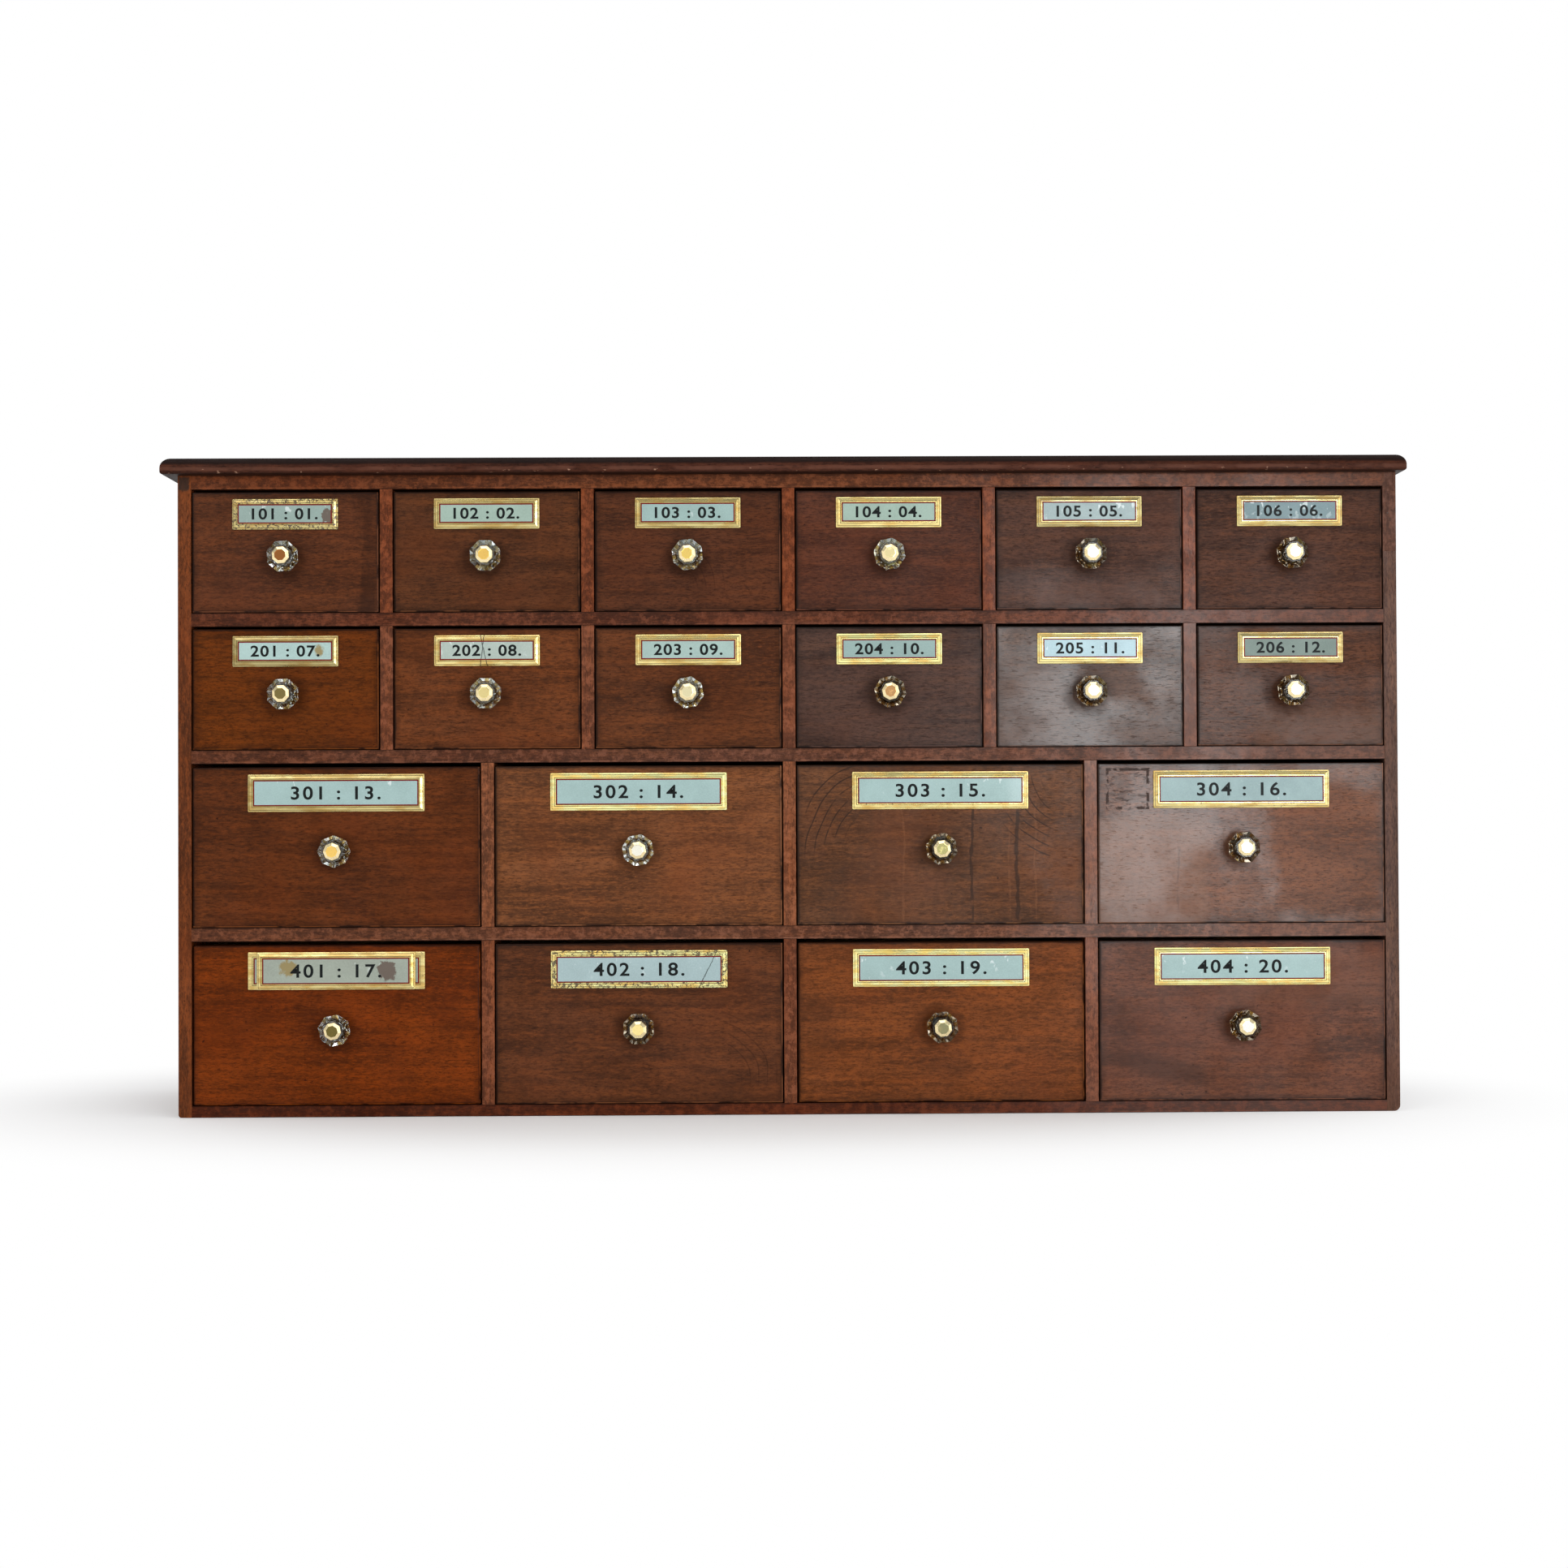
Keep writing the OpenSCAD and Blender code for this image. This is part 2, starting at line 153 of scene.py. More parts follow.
def blend(mask, a, b, how="MIX"):
    """Colour a where the mask is 0 and b where it is 1."""
    rgba = [c if isinstance(c, Wire) else (*c, 1) for c in (a, b)]
    return mask.node("ShaderNodeMix", {"data_type": "RGBA", "blend_type": how},
                     {0: mask, 6: rgba[0], 7: rgba[1]})


def moved(place, scale=(1, 1, 1), shift=(0, 0, 0)):
    return place.node("ShaderNodeMapping", {}, {"Vector": place, "Location": shift, "Scale": scale})


def stretched(place, along, factor, shift=(0, 0, 0)):
    """Draws patterns out along one axis."""
    return moved(place, [1 / factor if axis == along else 1 for axis in "XYZ"], shift)


def beside(place, mid_x, mid_z):
    """Distances in mm to the right of and above a point of the front."""
    spot = place.node("ShaderNodeSeparateXYZ", {}, {"Vector": place})
    return (spot.out("X") - mid_x * MM) * 1000, (spot.out("Z") - mid_z * MM) * 1000


def noise(place, scale, detail=3.0, roughness=0.5, distortion=0.0):
    return place.node("ShaderNodeTexNoise", {},
                      {"Vector": place, "Scale": scale, "Detail": detail,
                       "Roughness": roughness, "Distortion": distortion})


def linear(colour):
    """A colour from 0 to 255 as a screen shows it, as the light that it stands for."""
    return tuple((c / 255 / 12.92) if c / 255 <= 0.04045 else ((c / 255 + 0.055) / 1.055) ** 2.4
                 for c in colour)


def times(colour, factor):
    return tuple(min(c * factor, 1.0) for c in colour)


def new_finish(name, **fixed):
    """A material with one Principled surface. Gives the material, its surface and a first wire."""
    material = bpy.data.materials.new(name)
    material.use_nodes = True
    surface = material.node_tree.nodes["Principled BSDF"]
    for key, value in fixed.items():
        surface.inputs[key.replace("_", " ")].default_value = value
    start = Wire(material.node_tree).node("ShaderNodeTexCoord").out("Object")
    return material, surface, start


def connect(surface, **wires):
    for key, wire in wires.items():
        wire.tree.links.new(wire.socket, surface.inputs[key.replace("_", " ")])


def relief(height, depth_mm):
    """A bump that stands depth_mm proud where the height is 1."""
    return height.node("ShaderNodeBump", {}, {"Height": height, "Distance": depth_mm * MM,
                                              "Strength": 1.0})


print("finishes are written as sums of wires")

# %% [markdown]
# ## The studio
# Glossy drawers show what they reflect as much as what lights them. A tall soft window stands just
# right of the camera and leaves a cool sheen on the right-hand drawers. A second light fills from
# the left, a third lights the top and the floor. Only the camera sees the world as white.

# %% Floor and lights
bpy.context.scene.view_settings.view_transform = "Standard"


def soft_light(name, place, aim, size, watts, colour):
    """A rectangular area light at a place, turned to shine at a point, both in metres."""
    data = bpy.data.lights.new(name, "AREA")
    data.shape = "RECTANGLE"
    data.size, data.size_y = size
    data.energy = watts
    data.color = colour
    light = bpy.data.objects.new(name, data)
    bpy.context.scene.collection.objects.link(light)
    light.location = place
    light.rotation_euler = (Vector(aim) - Vector(place)).to_track_quat("-Z", "Y").to_euler()
    light.visible_camera = False
    return light


soft_light("window_light", (0.85, -2.6, 0.55), (0.3, 0, 0.4), (0.75, 1.1), 17, (0.90, 0.96, 1.0))
soft_light("fill_light", (-1.5, -2.4, 1.9), (-0.2, 0, 0.3), (1.6, 1.4), 16, (1.0, 0.98, 0.95))
soft_light("top_light", (0.0, -0.6, 3.2), (0, -0.3, 0), (3.5, 3.0), 66, (1.0, 0.99, 0.98))
soft_light("side_light", (2.4, -0.6, 0.75), (0, -0.6, 0.5), (3.2, 1.4), 14, (0.94, 0.97, 1.0))

WALL, CEILING = (1.0, 0.98, 0.93), (0.26, 0.27, 0.29)     # a pale wall low down, dimmer above
world = bpy.data.worlds.new("pale_studio")
bpy.context.scene.world = world
world.use_nodes = True
world.node_tree.nodes.clear()
start = Wire(world.node_tree)
heading = start.node("ShaderNodeTexCoord").out("Generated")
upward = start.node("ShaderNodeSeparateXYZ", {}, {0: heading}).out("Z")
height = start.node("ShaderNodeMapRange", {}, {"Value": upward, "From Min": 0.18, "From Max": 0.55})
room = start.node("ShaderNodeBackground", {}, {"Color": blend(height, WALL, CEILING),
                                               "Strength": 0.85})
seen = start.node("ShaderNodeBackground", {}, {"Color": (1, 1, 1, 1)})
rays = start.node("ShaderNodeLightPath").out("Is Camera Ray")
either = start.node("ShaderNodeMixShader", {}, {0: rays, 1: room, 2: seen})
start.node("ShaderNodeOutputWorld", {}, {"Surface": either})

# The floor is lit near the cabinet, where its shadow lies, and glows like the background further out
bpy.ops.object.select_all(action="DESELECT")
bpy.ops.mesh.primitive_plane_add(size=40, location=(0, 0, cad_low.z - 0.0003))
floor = bpy.context.object
floor.name = "floor"
pale, sheet, place = new_finish("pale_floor", Base_Color=(0.93, 0.93, 0.93, 1), Roughness=0.9,
                                Specular_IOR_Level=0.05)
spread = moved(place, scale=(0.45, 0.75, 0), shift=(0.035, 0, 0))
far = place.node("ShaderNodeVectorMath", {"operation": "LENGTH"}, {0: spread}).out("Value")
mixed = place.node("ShaderNodeMixShader", {}, {
    0: ease(far, 0.17, 0.42), 1: Wire(place.tree, sheet.outputs[0]),
    2: place.node("ShaderNodeEmission")})
place.tree.links.new(mixed.socket, place.tree.nodes["Material Output"].inputs["Surface"])
floor.data.materials.append(pale)

# %% [markdown]
# ## Mahogany under old polish
# Mahogany has a broad soft figure, finer streaks, and open pores that show as short dark flecks. A
# hundred years of hands add grime along the edges, dents, and a polish glossy in some places and hazy
# in others. A black line painted round each drawer front's edge is painted shade for the gap round it,
# and a light line on the lower and right arrises is partly rubbed wear and partly a painted highlight.
# Each is a noise stretched along the grain. One recipe makes every board: only its tone, its grain's
# direction and its marks differ.

# %% Mahogany
def mahogany(name, tone, along, seed, area, sheen, marks, edges=True):
    """A board's finish. area is its front face's (centre x, centre z, width, height) in mm."""
    material, surface, place = new_finish(
        name, Specular_IOR_Level=0.04 + 0.24 * sheen, Coat_Roughness=0.22, Coat_IOR=1.5)
    tone = linear(tone)
    here = moved(place, shift=(seed * 0.731, seed * 0.377, seed * 0.519))
    figure = noise(stretched(here, along, 4), 17, 5, 0.6, 1.2)
    streaks = noise(stretched(here, along, 16), 170, 4, 0.65)
    fine = noise(stretched(here, along, 4), 640, 3, 0.7)
    speckle = noise(stretched(here, along, 2.2), 340, 4, 0.78)
    flecks = ease(noise(stretched(here, along, 7), 1050, 2, 0.6), 0.56, 0.66)
    clouds = noise(here, 9, 3, 0.6)
    smoke = noise(here, 15, 5, 0.66)
    haze = ease(noise(here, 12, 5, 0.62), 0.36, 0.64)
    dents = ease(noise(moved(here, scale=(1, 1, 1.3)), 190, 2, 0.5), 0.735, 0.765)
    orange = (tone[0] * 1.75, tone[1] * 1.55, tone[2] * 1.15)
    redder = (tone[0] * 1.25, tone[1] * 0.90, tone[2] * 0.62)
    colour = blend(ease(figure, 0.30, 0.68), times(tone, 0.52), times(tone, 1.28))
    for mask, strength, shade in (
            (ease(streaks, 0.42, 0.70), 0.55, orange),
            (1 - ease(streaks, 0.28, 0.50), 0.55, times(tone, 0.50)),
            (ease(fine, 0.50, 0.68), 0.45, orange),
            (1 - ease(fine, 0.32, 0.50), 0.60, times(tone, 0.34)),
            (1 - ease(speckle, 0.36, 0.50), 0.45, times(tone, 0.38)),
            (ease(speckle, 0.53, 0.68), 0.45, orange),
            (flecks, 0.50, times(tone, 0.20)),
            (ease(clouds, 0.45, 0.72), 0.35, redder),
            (ease(smoke, 0.50, 0.72), 0.40, times(tone, 0.42)),
            (dents, 0.8, times(tone, 0.2))):
        colour = blend(mask * strength, colour, shade)
    height = flecks * -0.5 + streaks * 0.35 + dents * -1.6
    rough = 0.40 + haze * 0.16 + flecks * 0.15
    coat = (1.0 - flecks * 0.6) * (0.30 + haze)
    mid_x, mid_z, wide, high = area
    x, z = beside(place, mid_x, mid_z)
    if edges:
        colour = dark_edges(here, x, z, wide, high, tone, colour)
    for mark in marks:
        colour, rough, coat = mark(here, x, z, tone, colour, rough, coat)
    connect(surface, Base_Color=colour, Roughness=rough, Coat_Weight=coat * sheen,
            Normal=relief(height, 0.10))
    return material


def dark_edges(here, x, z, wide, high, tone, colour):
    """Grime at the edges, painted gap shade black at the very edge, and a light line low and right:
    rubbed wear and painted highlight.
    """
    ragged = noise(here, 55, 4, 0.65) - 0.5
    inset = smaller(wide / 2 - abs(x), high / 2 - abs(z))
    if high > 100:
        grime = 1 - ease(inset + ragged * 10, 0.3, 9.0)
        colour = blend(grime * 0.50, colour, times(tone, 0.32))
        # Painted shade: on the tall fronts a black line at the very edge stands for the shadow in the
        # gap.
        gap_shade = 1 - ease(inset + ragged * 3.5, 0.9, 3.0)
        colour = blend(gap_shade * 0.85, colour, times(tone, 0.08))
    else:
        grime = 1 - ease(inset + ragged * 5, 0.2, 2.2)
        colour = blend(grime * 0.60, colour, times(tone, 0.22))
    # Painted highlight, partly rubbed wear: a light line on the lower and right arrises, which face
    # the light.
    lower_right = larger(ease(x - wide / 2, -2.2, -1.2), 1 - ease(z + high / 2, 1.2, 2.2))
    rubbed_highlight = lower_right * (1 - ease(inset, 1.3, 2.2)) * ease(inset, 0.3, 0.8) * ease(
        noise(here, 42, 3, 0.6), 0.42, 0.56)
    return blend(rubbed_highlight * 0.45, colour, (tone[0] * 2.9, tone[1] * 3.1, tone[2] * 3.3))


def beyond(x, z, at_x, at_z, wide, high):
    """How far outside a rectangle a place lies, in mm: below 0 inside it."""
    return larger(abs(x - at_x) - wide / 2, abs(z - at_z) - high / 2)


def dark_streak(at, wide, strength):
    """A dark stain that runs down the front."""
    def mark(here, x, z, tone, colour, rough, coat):
        edge = (noise(moved(here, scale=(1, 1, 0.3)), 70, 4, 0.65) - 0.5) * 30
        mask = (1 - ease(abs(x - at) + edge, wide / 2 - 3, wide / 2 + 7)) * (
            0.5 + 0.5 * ease(noise(here, 30, 3, 0.6), 0.40, 0.60))
        return blend(mask * strength, colour, times(tone, 0.28)), rough, coat
    return mark


def pale_glare_patch(at_x, at_z, wide, high, strength, factor):
    """A pale grey, dull patch: polish worn dull, and a painted reflection of the window's glare."""
    def mark(here, x, z, tone, colour, rough, coat):
        edge = (noise(here, 34, 5, 0.7) - 0.5) * 34
        mask = 1 - ease(beyond(x, z, at_x, at_z, wide, high) + edge, -6, 8)
        # Painted reflection, partly worn polish: the patch turns a pale, bluish grey like the window's
        # glare.
        grey = (tone[0] * factor, tone[1] * factor * 1.25, tone[2] * factor * 1.5)
        return blend(mask * strength, colour, grey), rough + mask * 0.12, coat
    return mark


def bare(at_x, at_z, wide, high):
    """A patch that has lost its polish and no longer shines."""
    def mark(here, x, z, tone, colour, rough, coat):
        edge = (noise(here, 26, 5, 0.65) - 0.5) * 44
        mask = 1 - ease(beyond(x, z, at_x, at_z, wide, high) + edge, -14, 12)
        return colour, rough, coat * (1 - mask * 0.8)
    return mark


def knob_shadow_and_grease(at_z):
    """A painted shadow of the knob, a little to its lower left, that is also the dark grease hands
    left round it.
    """
    def mark(here, x, z, tone, colour, rough, coat):
        edge = (noise(here, 48, 4, 0.65) - 0.5) * 22
        dx, dz = x + 3, z - at_z + 2
        # Painted shadow and grease: darker round the knob and towards its lower left.
        mask = 1 - ease(root(dx * dx + dz * dz * 1.4) + edge, 15, 30)
        return blend(mask * 0.6, colour, times(tone, 0.30)), rough, coat * (1 - mask * 0.7)
    return mark


def drips(starts, low, high, strength, shade=0.25):
    """Thin runs of spilt liquid between two heights, each at a place and of a width."""
    def mark(here, x, z, tone, colour, rough, coat):
        for at, wide in starts:
            own = moved(here, shift=(at, 0, 0))
            sway = (noise(own, 26, 3, 0.6) - 0.5) * 8
            swell = (noise(here, 110, 3, 0.6) - 0.45) * 4.5
            across = 1 - ease(abs(x - at + sway) - swell, wide / 2, wide / 2 + 1.2)
            along = ease(z, low, low + 8) * (1 - ease(z, high - 8, high)) * ease(
                noise(own, 38, 3, 0.6), 0.28, 0.44)
            colour = blend(across * along * strength, colour, times(tone, shade))
        return colour, rough, coat
    return mark


def old_label(at_x, at_z, wide, high):
    """The broken outline that a label left behind."""
    def mark(here, x, z, tone, colour, rough, coat):
        off = beyond(x, z, at_x, at_z, wide, high)
        inner = ease(noise(moved(here, scale=(0.3, 1, 1)), 260, 3, 0.6), 0.56, 0.60) * (
            ease(-1 * off, 0, 2))
        broken = ease(noise(here, 90, 3, 0.6), 0.40, 0.48)
        line = larger((1 - ease(abs(off), 0.9, 1.8)) * broken, inner * 0.6)
        return blend(line * 0.85, colour, times(tone, 0.15)), rough, coat * (1 - line * 0.9)
    return mark


def flame(at_x, at_z, long):
    """A darker tongue in the figure, lying along the grain."""
    def mark(here, x, z, tone, colour, rough, coat):
        sway = (noise(moved(here, scale=(0.5, 1, 1)), 12, 2, 0.5) - 0.5) * 40
        mask = (1 - ease(abs(z - at_z + sway + (x - at_x) * 0.14), 3, 13)) * (
            1 - ease(abs(x - at_x), long / 2 - 30, long / 2))
        return blend(mask * 0.6, colour, times(tone, 0.38)), rough, coat
    return mark


def scratches(at_x, at_z, size, side, rise, strength):
    """Arcs round a point, to its right (side 1) or left (-1) and above (rise 1) or below it (-1)."""
    def mark(here, x, z, tone, colour, rough, coat):
        dx, dz = x - at_x, z - at_z
        radius = root(dx * dx + dz * dz)
        steps = radius * 0.11 + noise(here, 9, 2, 0.5) * 2.5
        line = 1 - ease(abs(steps.sum("FRACT", steps) - 0.5), 0.04, 0.10)
        near = ease(radius, size * 0.35, size * 0.55) * (1 - ease(radius, size * 0.9, size)) * (
            ease(side * dx, size * 0.2, size * 0.4) * ease(rise * dz, -10, 15))
        broken = ease(noise(here, 28, 3, 0.6), 0.40, 0.50)
        return blend(line * near * broken * strength, colour, times(tone, 0.18)), rough, coat
    return mark


print("mahogany recipe ready")

# %% [markdown]
# ## Pine, brass, iron, glass and gilding
# Drawer linings are bare pine, with straight brown lines of winter growth. The lacquered brass has
# tarnished in clouds. The gilding lies behind glass, so it is bright metal under a smooth coat, with
# dark specks where the leaf has lifted.

# %% Other finishes
def pine(name, along, seed, tone=(160, 124, 84)):
    """Bare planed pine, its grain along one axis."""
    tone = linear(tone)
    material, surface, place = new_finish(name, Specular_IOR_Level=0.25)
    here = stretched(place, along, 20, (seed * 0.61, seed * 0.37, seed * 0.83))
    wander = noise(here, 6, 2, 0.5)
    rings = noise(here, 150, 3, 0.55, 0.3)
    fine = noise(here, 800, 3, 0.65)
    winter = (tone[0] * 0.62, tone[1] * 0.50, tone[2] * 0.42)
    colour = blend(ease(rings, 0.44, 0.66) * 0.50, times(tone, 1.05), winter)
    colour = blend(ease(wander, 0.4, 0.7) * 0.35, colour, times(winter, 1.2))
    stain = ease(noise(moved(place, shift=(seed, 0, 0)), 16, 5, 0.65), 0.48, 0.75)
    colour = blend(stain * 0.45, colour, times(winter, 0.65))
    colour = blend(ease(fine, 0.5, 0.7) * 0.35, colour, times(winter, 0.9))
    connect(surface, Base_Color=colour, Roughness=0.62 + fine * 0.2,
            Normal=relief(rings * 0.6 + fine * 0.5, 0.12))
    return material


def brass(name, bright, tarnish, seed, amount=0.5, rough=0.14, metallic=1.0):
    """Lacquered brass. The amount says how far the tarnish has gone."""
    material, surface, place = new_finish(name, Metallic=metallic)
    here = moved(place, shift=(seed * 0.9, 0, seed * 0.4))
    bright, tarnish = linear(bright), linear(tarnish)
    clouds = ease(noise(here, 150, 4, 0.65), 0.60 - 0.3 * amount, 0.86 - 0.3 * amount)
    specks = ease(noise(here, 900, 2, 0.5), 0.66, 0.74)
    colour = blend(clouds * amount, bright, tarnish)
    colour = blend(specks * 0.5, colour, times(tarnish, 0.4))
    connect(surface, Base_Color=colour, Roughness=rough + clouds * 0.18 + specks * 0.2,
            Normal=relief(clouds * 0.3 + noise(here, 60, 2) * 1.0, 0.03))
    return material


def iron(name):
    material, surface, place = new_finish(name, Metallic=0.7)
    rust = ease(noise(place, 420, 4, 0.6), 0.42, 0.66)
    colour = blend(rust, linear((70, 66, 62)), linear((84, 50, 34)))
    connect(surface, Base_Color=colour, Roughness=0.45 + rust * 0.4,
            Normal=relief(rust + noise(place, 1500, 2), 0.05))
    return material


def crack_lines(here, x, z, cracks):
    """Fine wandering lines from edge to edge, each given by its place and slope."""
    sway = (noise(here, 160, 3, 0.6) - 0.5) * 3.0
    lines = None
    for at, slope in cracks:
        line = 1 - ease(abs(x - at - z * slope + sway), 0.25, 0.65)
        lines = line if lines is None else larger(lines, line)
    return lines


def gilding(name, seed, wear, gleam, mid, cracks):
    """Gold leaf behind glass: clouded, and flaked where the wear is high."""
    material, surface, place = new_finish(name, Coat_Roughness=0.03, Coat_IOR=1.5, Coat_Weight=0.6)
    here = moved(place, shift=(seed * 0.53, 0, seed * 0.29))
    clouds = ease(noise(moved(here, scale=(0.30, 1, 1)), 170, 4, 0.6), 0.38, 0.66)
    colour = blend(clouds, times(linear((255, 236, 158)), gleam),
                   times(linear((232, 192, 104)), gleam))
    olive = ease(noise(moved(here, scale=(0.10, 1, 1)), 380, 3, 0.6), 0.50, 0.60)
    colour = blend(olive * 0.30, colour, times(linear((150, 126, 58)), gleam))
    limit = 0.80 - 0.30 * wear
    flaked = ease(noise(here, 330, 6, 0.72, 0.6), limit, limit + 0.03)
    colour = blend(flaked * 0.92, colour, linear((62, 44, 28)))
    rough = 0.20 + clouds * 0.14 + flaked * 0.3
    if cracks:
        x, z = beside(place, *mid)
        colour = blend(crack_lines(here, x, z, cracks) * 0.9, colour, linear((44, 34, 22)))
    connect(surface, Base_Color=colour, Roughness=rough,
            Metallic=(1.35 - 0.6 * max(gleam, 0.9)) * (1 - flaked * 0.9),
            Normal=relief(clouds * 0.4 - flaked, 0.05))
    return material


def paint(name, tone, seed, rough=0.3, mottle=0.25, coat=0.3):
    """Paint laid on the back of a glass."""
    material, surface, place = new_finish(name, Coat_Roughness=0.05, Coat_IOR=1.5, Coat_Weight=coat,
                                          Specular_IOR_Level=0.15)
    here = moved(place, shift=(seed * 0.5, 0, seed * 0.3))
    tone = linear(tone)
    clouds = ease(noise(here, 120, 4, 0.6), 0.35, 0.70)
    colour = blend(clouds * mottle, tone, times(tone, 0.6))
    connect(surface, Base_Color=colour, Roughness=rough + clouds * 0.1)
    return material


def label_ground(name, tone, seed, mid, coat, blotches=0.0, lost=None, stain=None, cracks=()):
    """The pale panel of a label. Its middle and the places of its flaws are in mm."""
    material, surface, place = new_finish(name, Coat_Roughness=0.04, Coat_IOR=1.5, Coat_Weight=coat,
                                          Specular_IOR_Level=0.2)
    here = moved(place, shift=(seed * 0.5, 0, seed * 0.3))
    x, z = beside(place, *mid)
    tone = linear(tone)
    clouds = ease(noise(here, 45, 4, 0.6), 0.32, 0.70)
    colour = blend(clouds * 0.55, tone, times(tone, 0.80))
    grain = ease(noise(here, 700, 3, 0.6), 0.35, 0.75)
    colour = blend(grain * 0.3, colour, times(tone, 1.3))
    if blotches:
        limit = 0.70 - 0.14 * blotches
        pale_spots = ease(noise(moved(here, scale=(1, 1, 0.6)), 130, 3, 0.55), limit, limit + 0.05)
        upper = 0.35 + ease(z, -6, 8) * 0.65
        colour = blend(pale_spots * upper * 0.62, colour, linear((222, 230, 230)))
    rough = 0.28 + clouds * 0.1
    for flaw, shade, soft in ((lost, (92, 76, 66), 1.2), (stain, (140, 122, 72), 3.0)):
        if flaw:
            at_x, at_z, radius = flaw
            edge = (noise(here, 210, 4, 0.7) - 0.5) * (radius * 1.6)
            dx, dz = x - at_x, z - at_z
            far = root(dx * dx + dz * dz * 0.8) + edge
            mask = 1 - ease(far, radius - soft, radius)
            colour = blend(mask * 0.92, colour, linear(shade))
            rough = rough + mask * 0.3
    if cracks:
        colour = blend(crack_lines(here, x, z, cracks) * 0.9, colour, linear((52, 60, 58)))
    connect(surface, Base_Color=colour, Roughness=rough)
    return material


def clear_glass(name, tint, coat):
    """Old pressed glass, slightly smeared."""
    material, surface, place = new_finish(
        name, Transmission_Weight=1.0, IOR=1.22, Coat_Weight=coat, Coat_IOR=1.55,
        Coat_Roughness=0.02, Base_Color=(*tint, 1))
    smears = ease(noise(place, 220, 3, 0.6), 0.45, 0.75)
    connect(surface, Roughness=0.015 + smears * 0.07)
    return material


print("other finishes ready")

# %% [markdown]
# ## Tools for modelling
# Every piece is shaped as by hand: a primitive is put in place, its faces or edges are picked out
# by where they are, and an operator works on them. It acts on everything that is selected, so the
# first thing each tool does is let go of all that was.

# %% Modelling tools
MERGED = 0.01 * MM      # corners closer than this are one


def switch_to(mode):
    bpy.ops.object.mode_set(mode=mode)


def let_go():
    if bpy.context.object and bpy.context.object.mode != "OBJECT":
        switch_to("OBJECT")
    bpy.ops.object.select_all(action="DESELECT")


def hold(piece):
    let_go()
    piece.select_set(True)
    bpy.context.view_layer.objects.active = piece
    return piece


def edit(piece):
    hold(piece)
    switch_to("EDIT")
    return piece


def settle(piece):
    """The piece's place goes into its mesh, and its object to the origin."""
    hold(piece)
    bpy.ops.object.transform_apply(location=True, rotation=True, scale=True)
    return piece


def block(name, low, high):
    """A box between two corners in mm."""
    let_go()
    low, high = Vector(low), Vector(high)
    bpy.ops.mesh.primitive_cube_add(size=1, location=(low + high) / 2 * MM, scale=(high - low) * MM)
    piece = bpy.context.object
    piece.name = name
    return settle(piece)


def pick(piece, kind, test):
    """Picks the edges or faces that pass a test. Their corners are given to it in mm."""
    edit(piece)
    bpy.ops.mesh.select_mode(type=kind)
    bpy.ops.mesh.select_all(action="DESELECT")
    mesh = bmesh.from_edit_mesh(piece.data)
    parts = mesh.edges if kind == "EDGE" else mesh.faces
    found = [part for part in parts if test([v.co / MM for v in part.verts])]
    for part in found:
        part.select_set(True)
    mesh.select_flush(True)
    bmesh.update_edit_mesh(piece.data)
    return len(found)


def done(piece):
    """Ends an edit: doubles merged, faces turned outwards."""
    bpy.ops.mesh.select_all(action="SELECT")
    bpy.ops.mesh.remove_doubles(threshold=MERGED)
    bpy.ops.mesh.normals_make_consistent(inside=False)
    switch_to("OBJECT")
    return piece


def round_edges(piece, test, width, steps=3):
    """Rounds the edges whose two corners pass a test, by a width in mm."""
    if pick(piece, "EDGE", test):
        bpy.ops.mesh.bevel(offset=width * MM, segments=steps, profile=0.5, affect="EDGES",
                           clamp_overlap=True)
    return done(piece)


def fine_bevel(piece, width, steps, angle):
    """A modifier that bevels every edge sharper than an angle."""
    bevel = piece.modifiers.new("worn_edges", "BEVEL")
    bevel.width, bevel.segments = width * MM, steps
    bevel.limit_method, bevel.angle_limit = "ANGLE", radians(angle)
    return bevel


def soften(piece, width, steps, angle):
    hold(piece)
    bpy.ops.object.modifier_apply(modifier=fine_bevel(piece, width, steps, angle).name)
    return piece


def smooth(piece, angle=35):
    """Smooth over the rounded edges, while the large faces stay flat."""
    hold(piece)
    bpy.ops.object.shade_smooth_by_angle(angle=radians(angle))
    weighted = piece.modifiers.new("flat_faces", "WEIGHTED_NORMAL")
    weighted.keep_sharp = True
    weighted.weight = 100
    bpy.ops.object.modifier_apply(modifier=weighted.name)
    return piece


def level(corners, axis, value, slack=0.02):
    """True where all the corners lie at one value along an axis."""
    return all(abs(c[axis] - value) < slack for c in corners)


def finish_with(piece, *materials):
    """Gives a piece its finishes. Faces keep the number of the finish that they were given."""
    slots = piece.data.materials
    while len(slots) < len(materials):
        slots.append(None)
    for k, material in enumerate(materials):
        slots[k] = material
    return piece


def number_picked(finish):
    """Gives the picked faces the number of their finish."""
    bpy.context.object.active_material_index = finish
    bpy.ops.object.material_slot_assign()


def copy_to(piece, name, place, turn=None):
    """A copy with its own mesh, turned about the drawer's own axis and moved, in mm."""
    twin = bpy.data.objects.new(name, piece.data.copy())
    bpy.context.scene.collection.objects.link(twin)
    if turn is not None:
        twin.data.transform(turn)
    twin.data.transform(Matrix.Translation(Vector(place) * MM))
    return twin


def merged_copy(node, name):
    """A CAD node's loose triangles, copied, merged and made whole faces again."""
    twin = bpy.data.objects.new(name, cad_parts[node].data.copy())
    bpy.context.scene.collection.objects.link(twin)
    twin.data.materials.clear()
    edit(twin)
    bpy.ops.mesh.select_all(action="SELECT")
    bpy.ops.mesh.remove_doubles(threshold=MERGED)
    bpy.ops.mesh.dissolve_limited(angle_limit=radians(0.5))
    switch_to("OBJECT")
    return twin


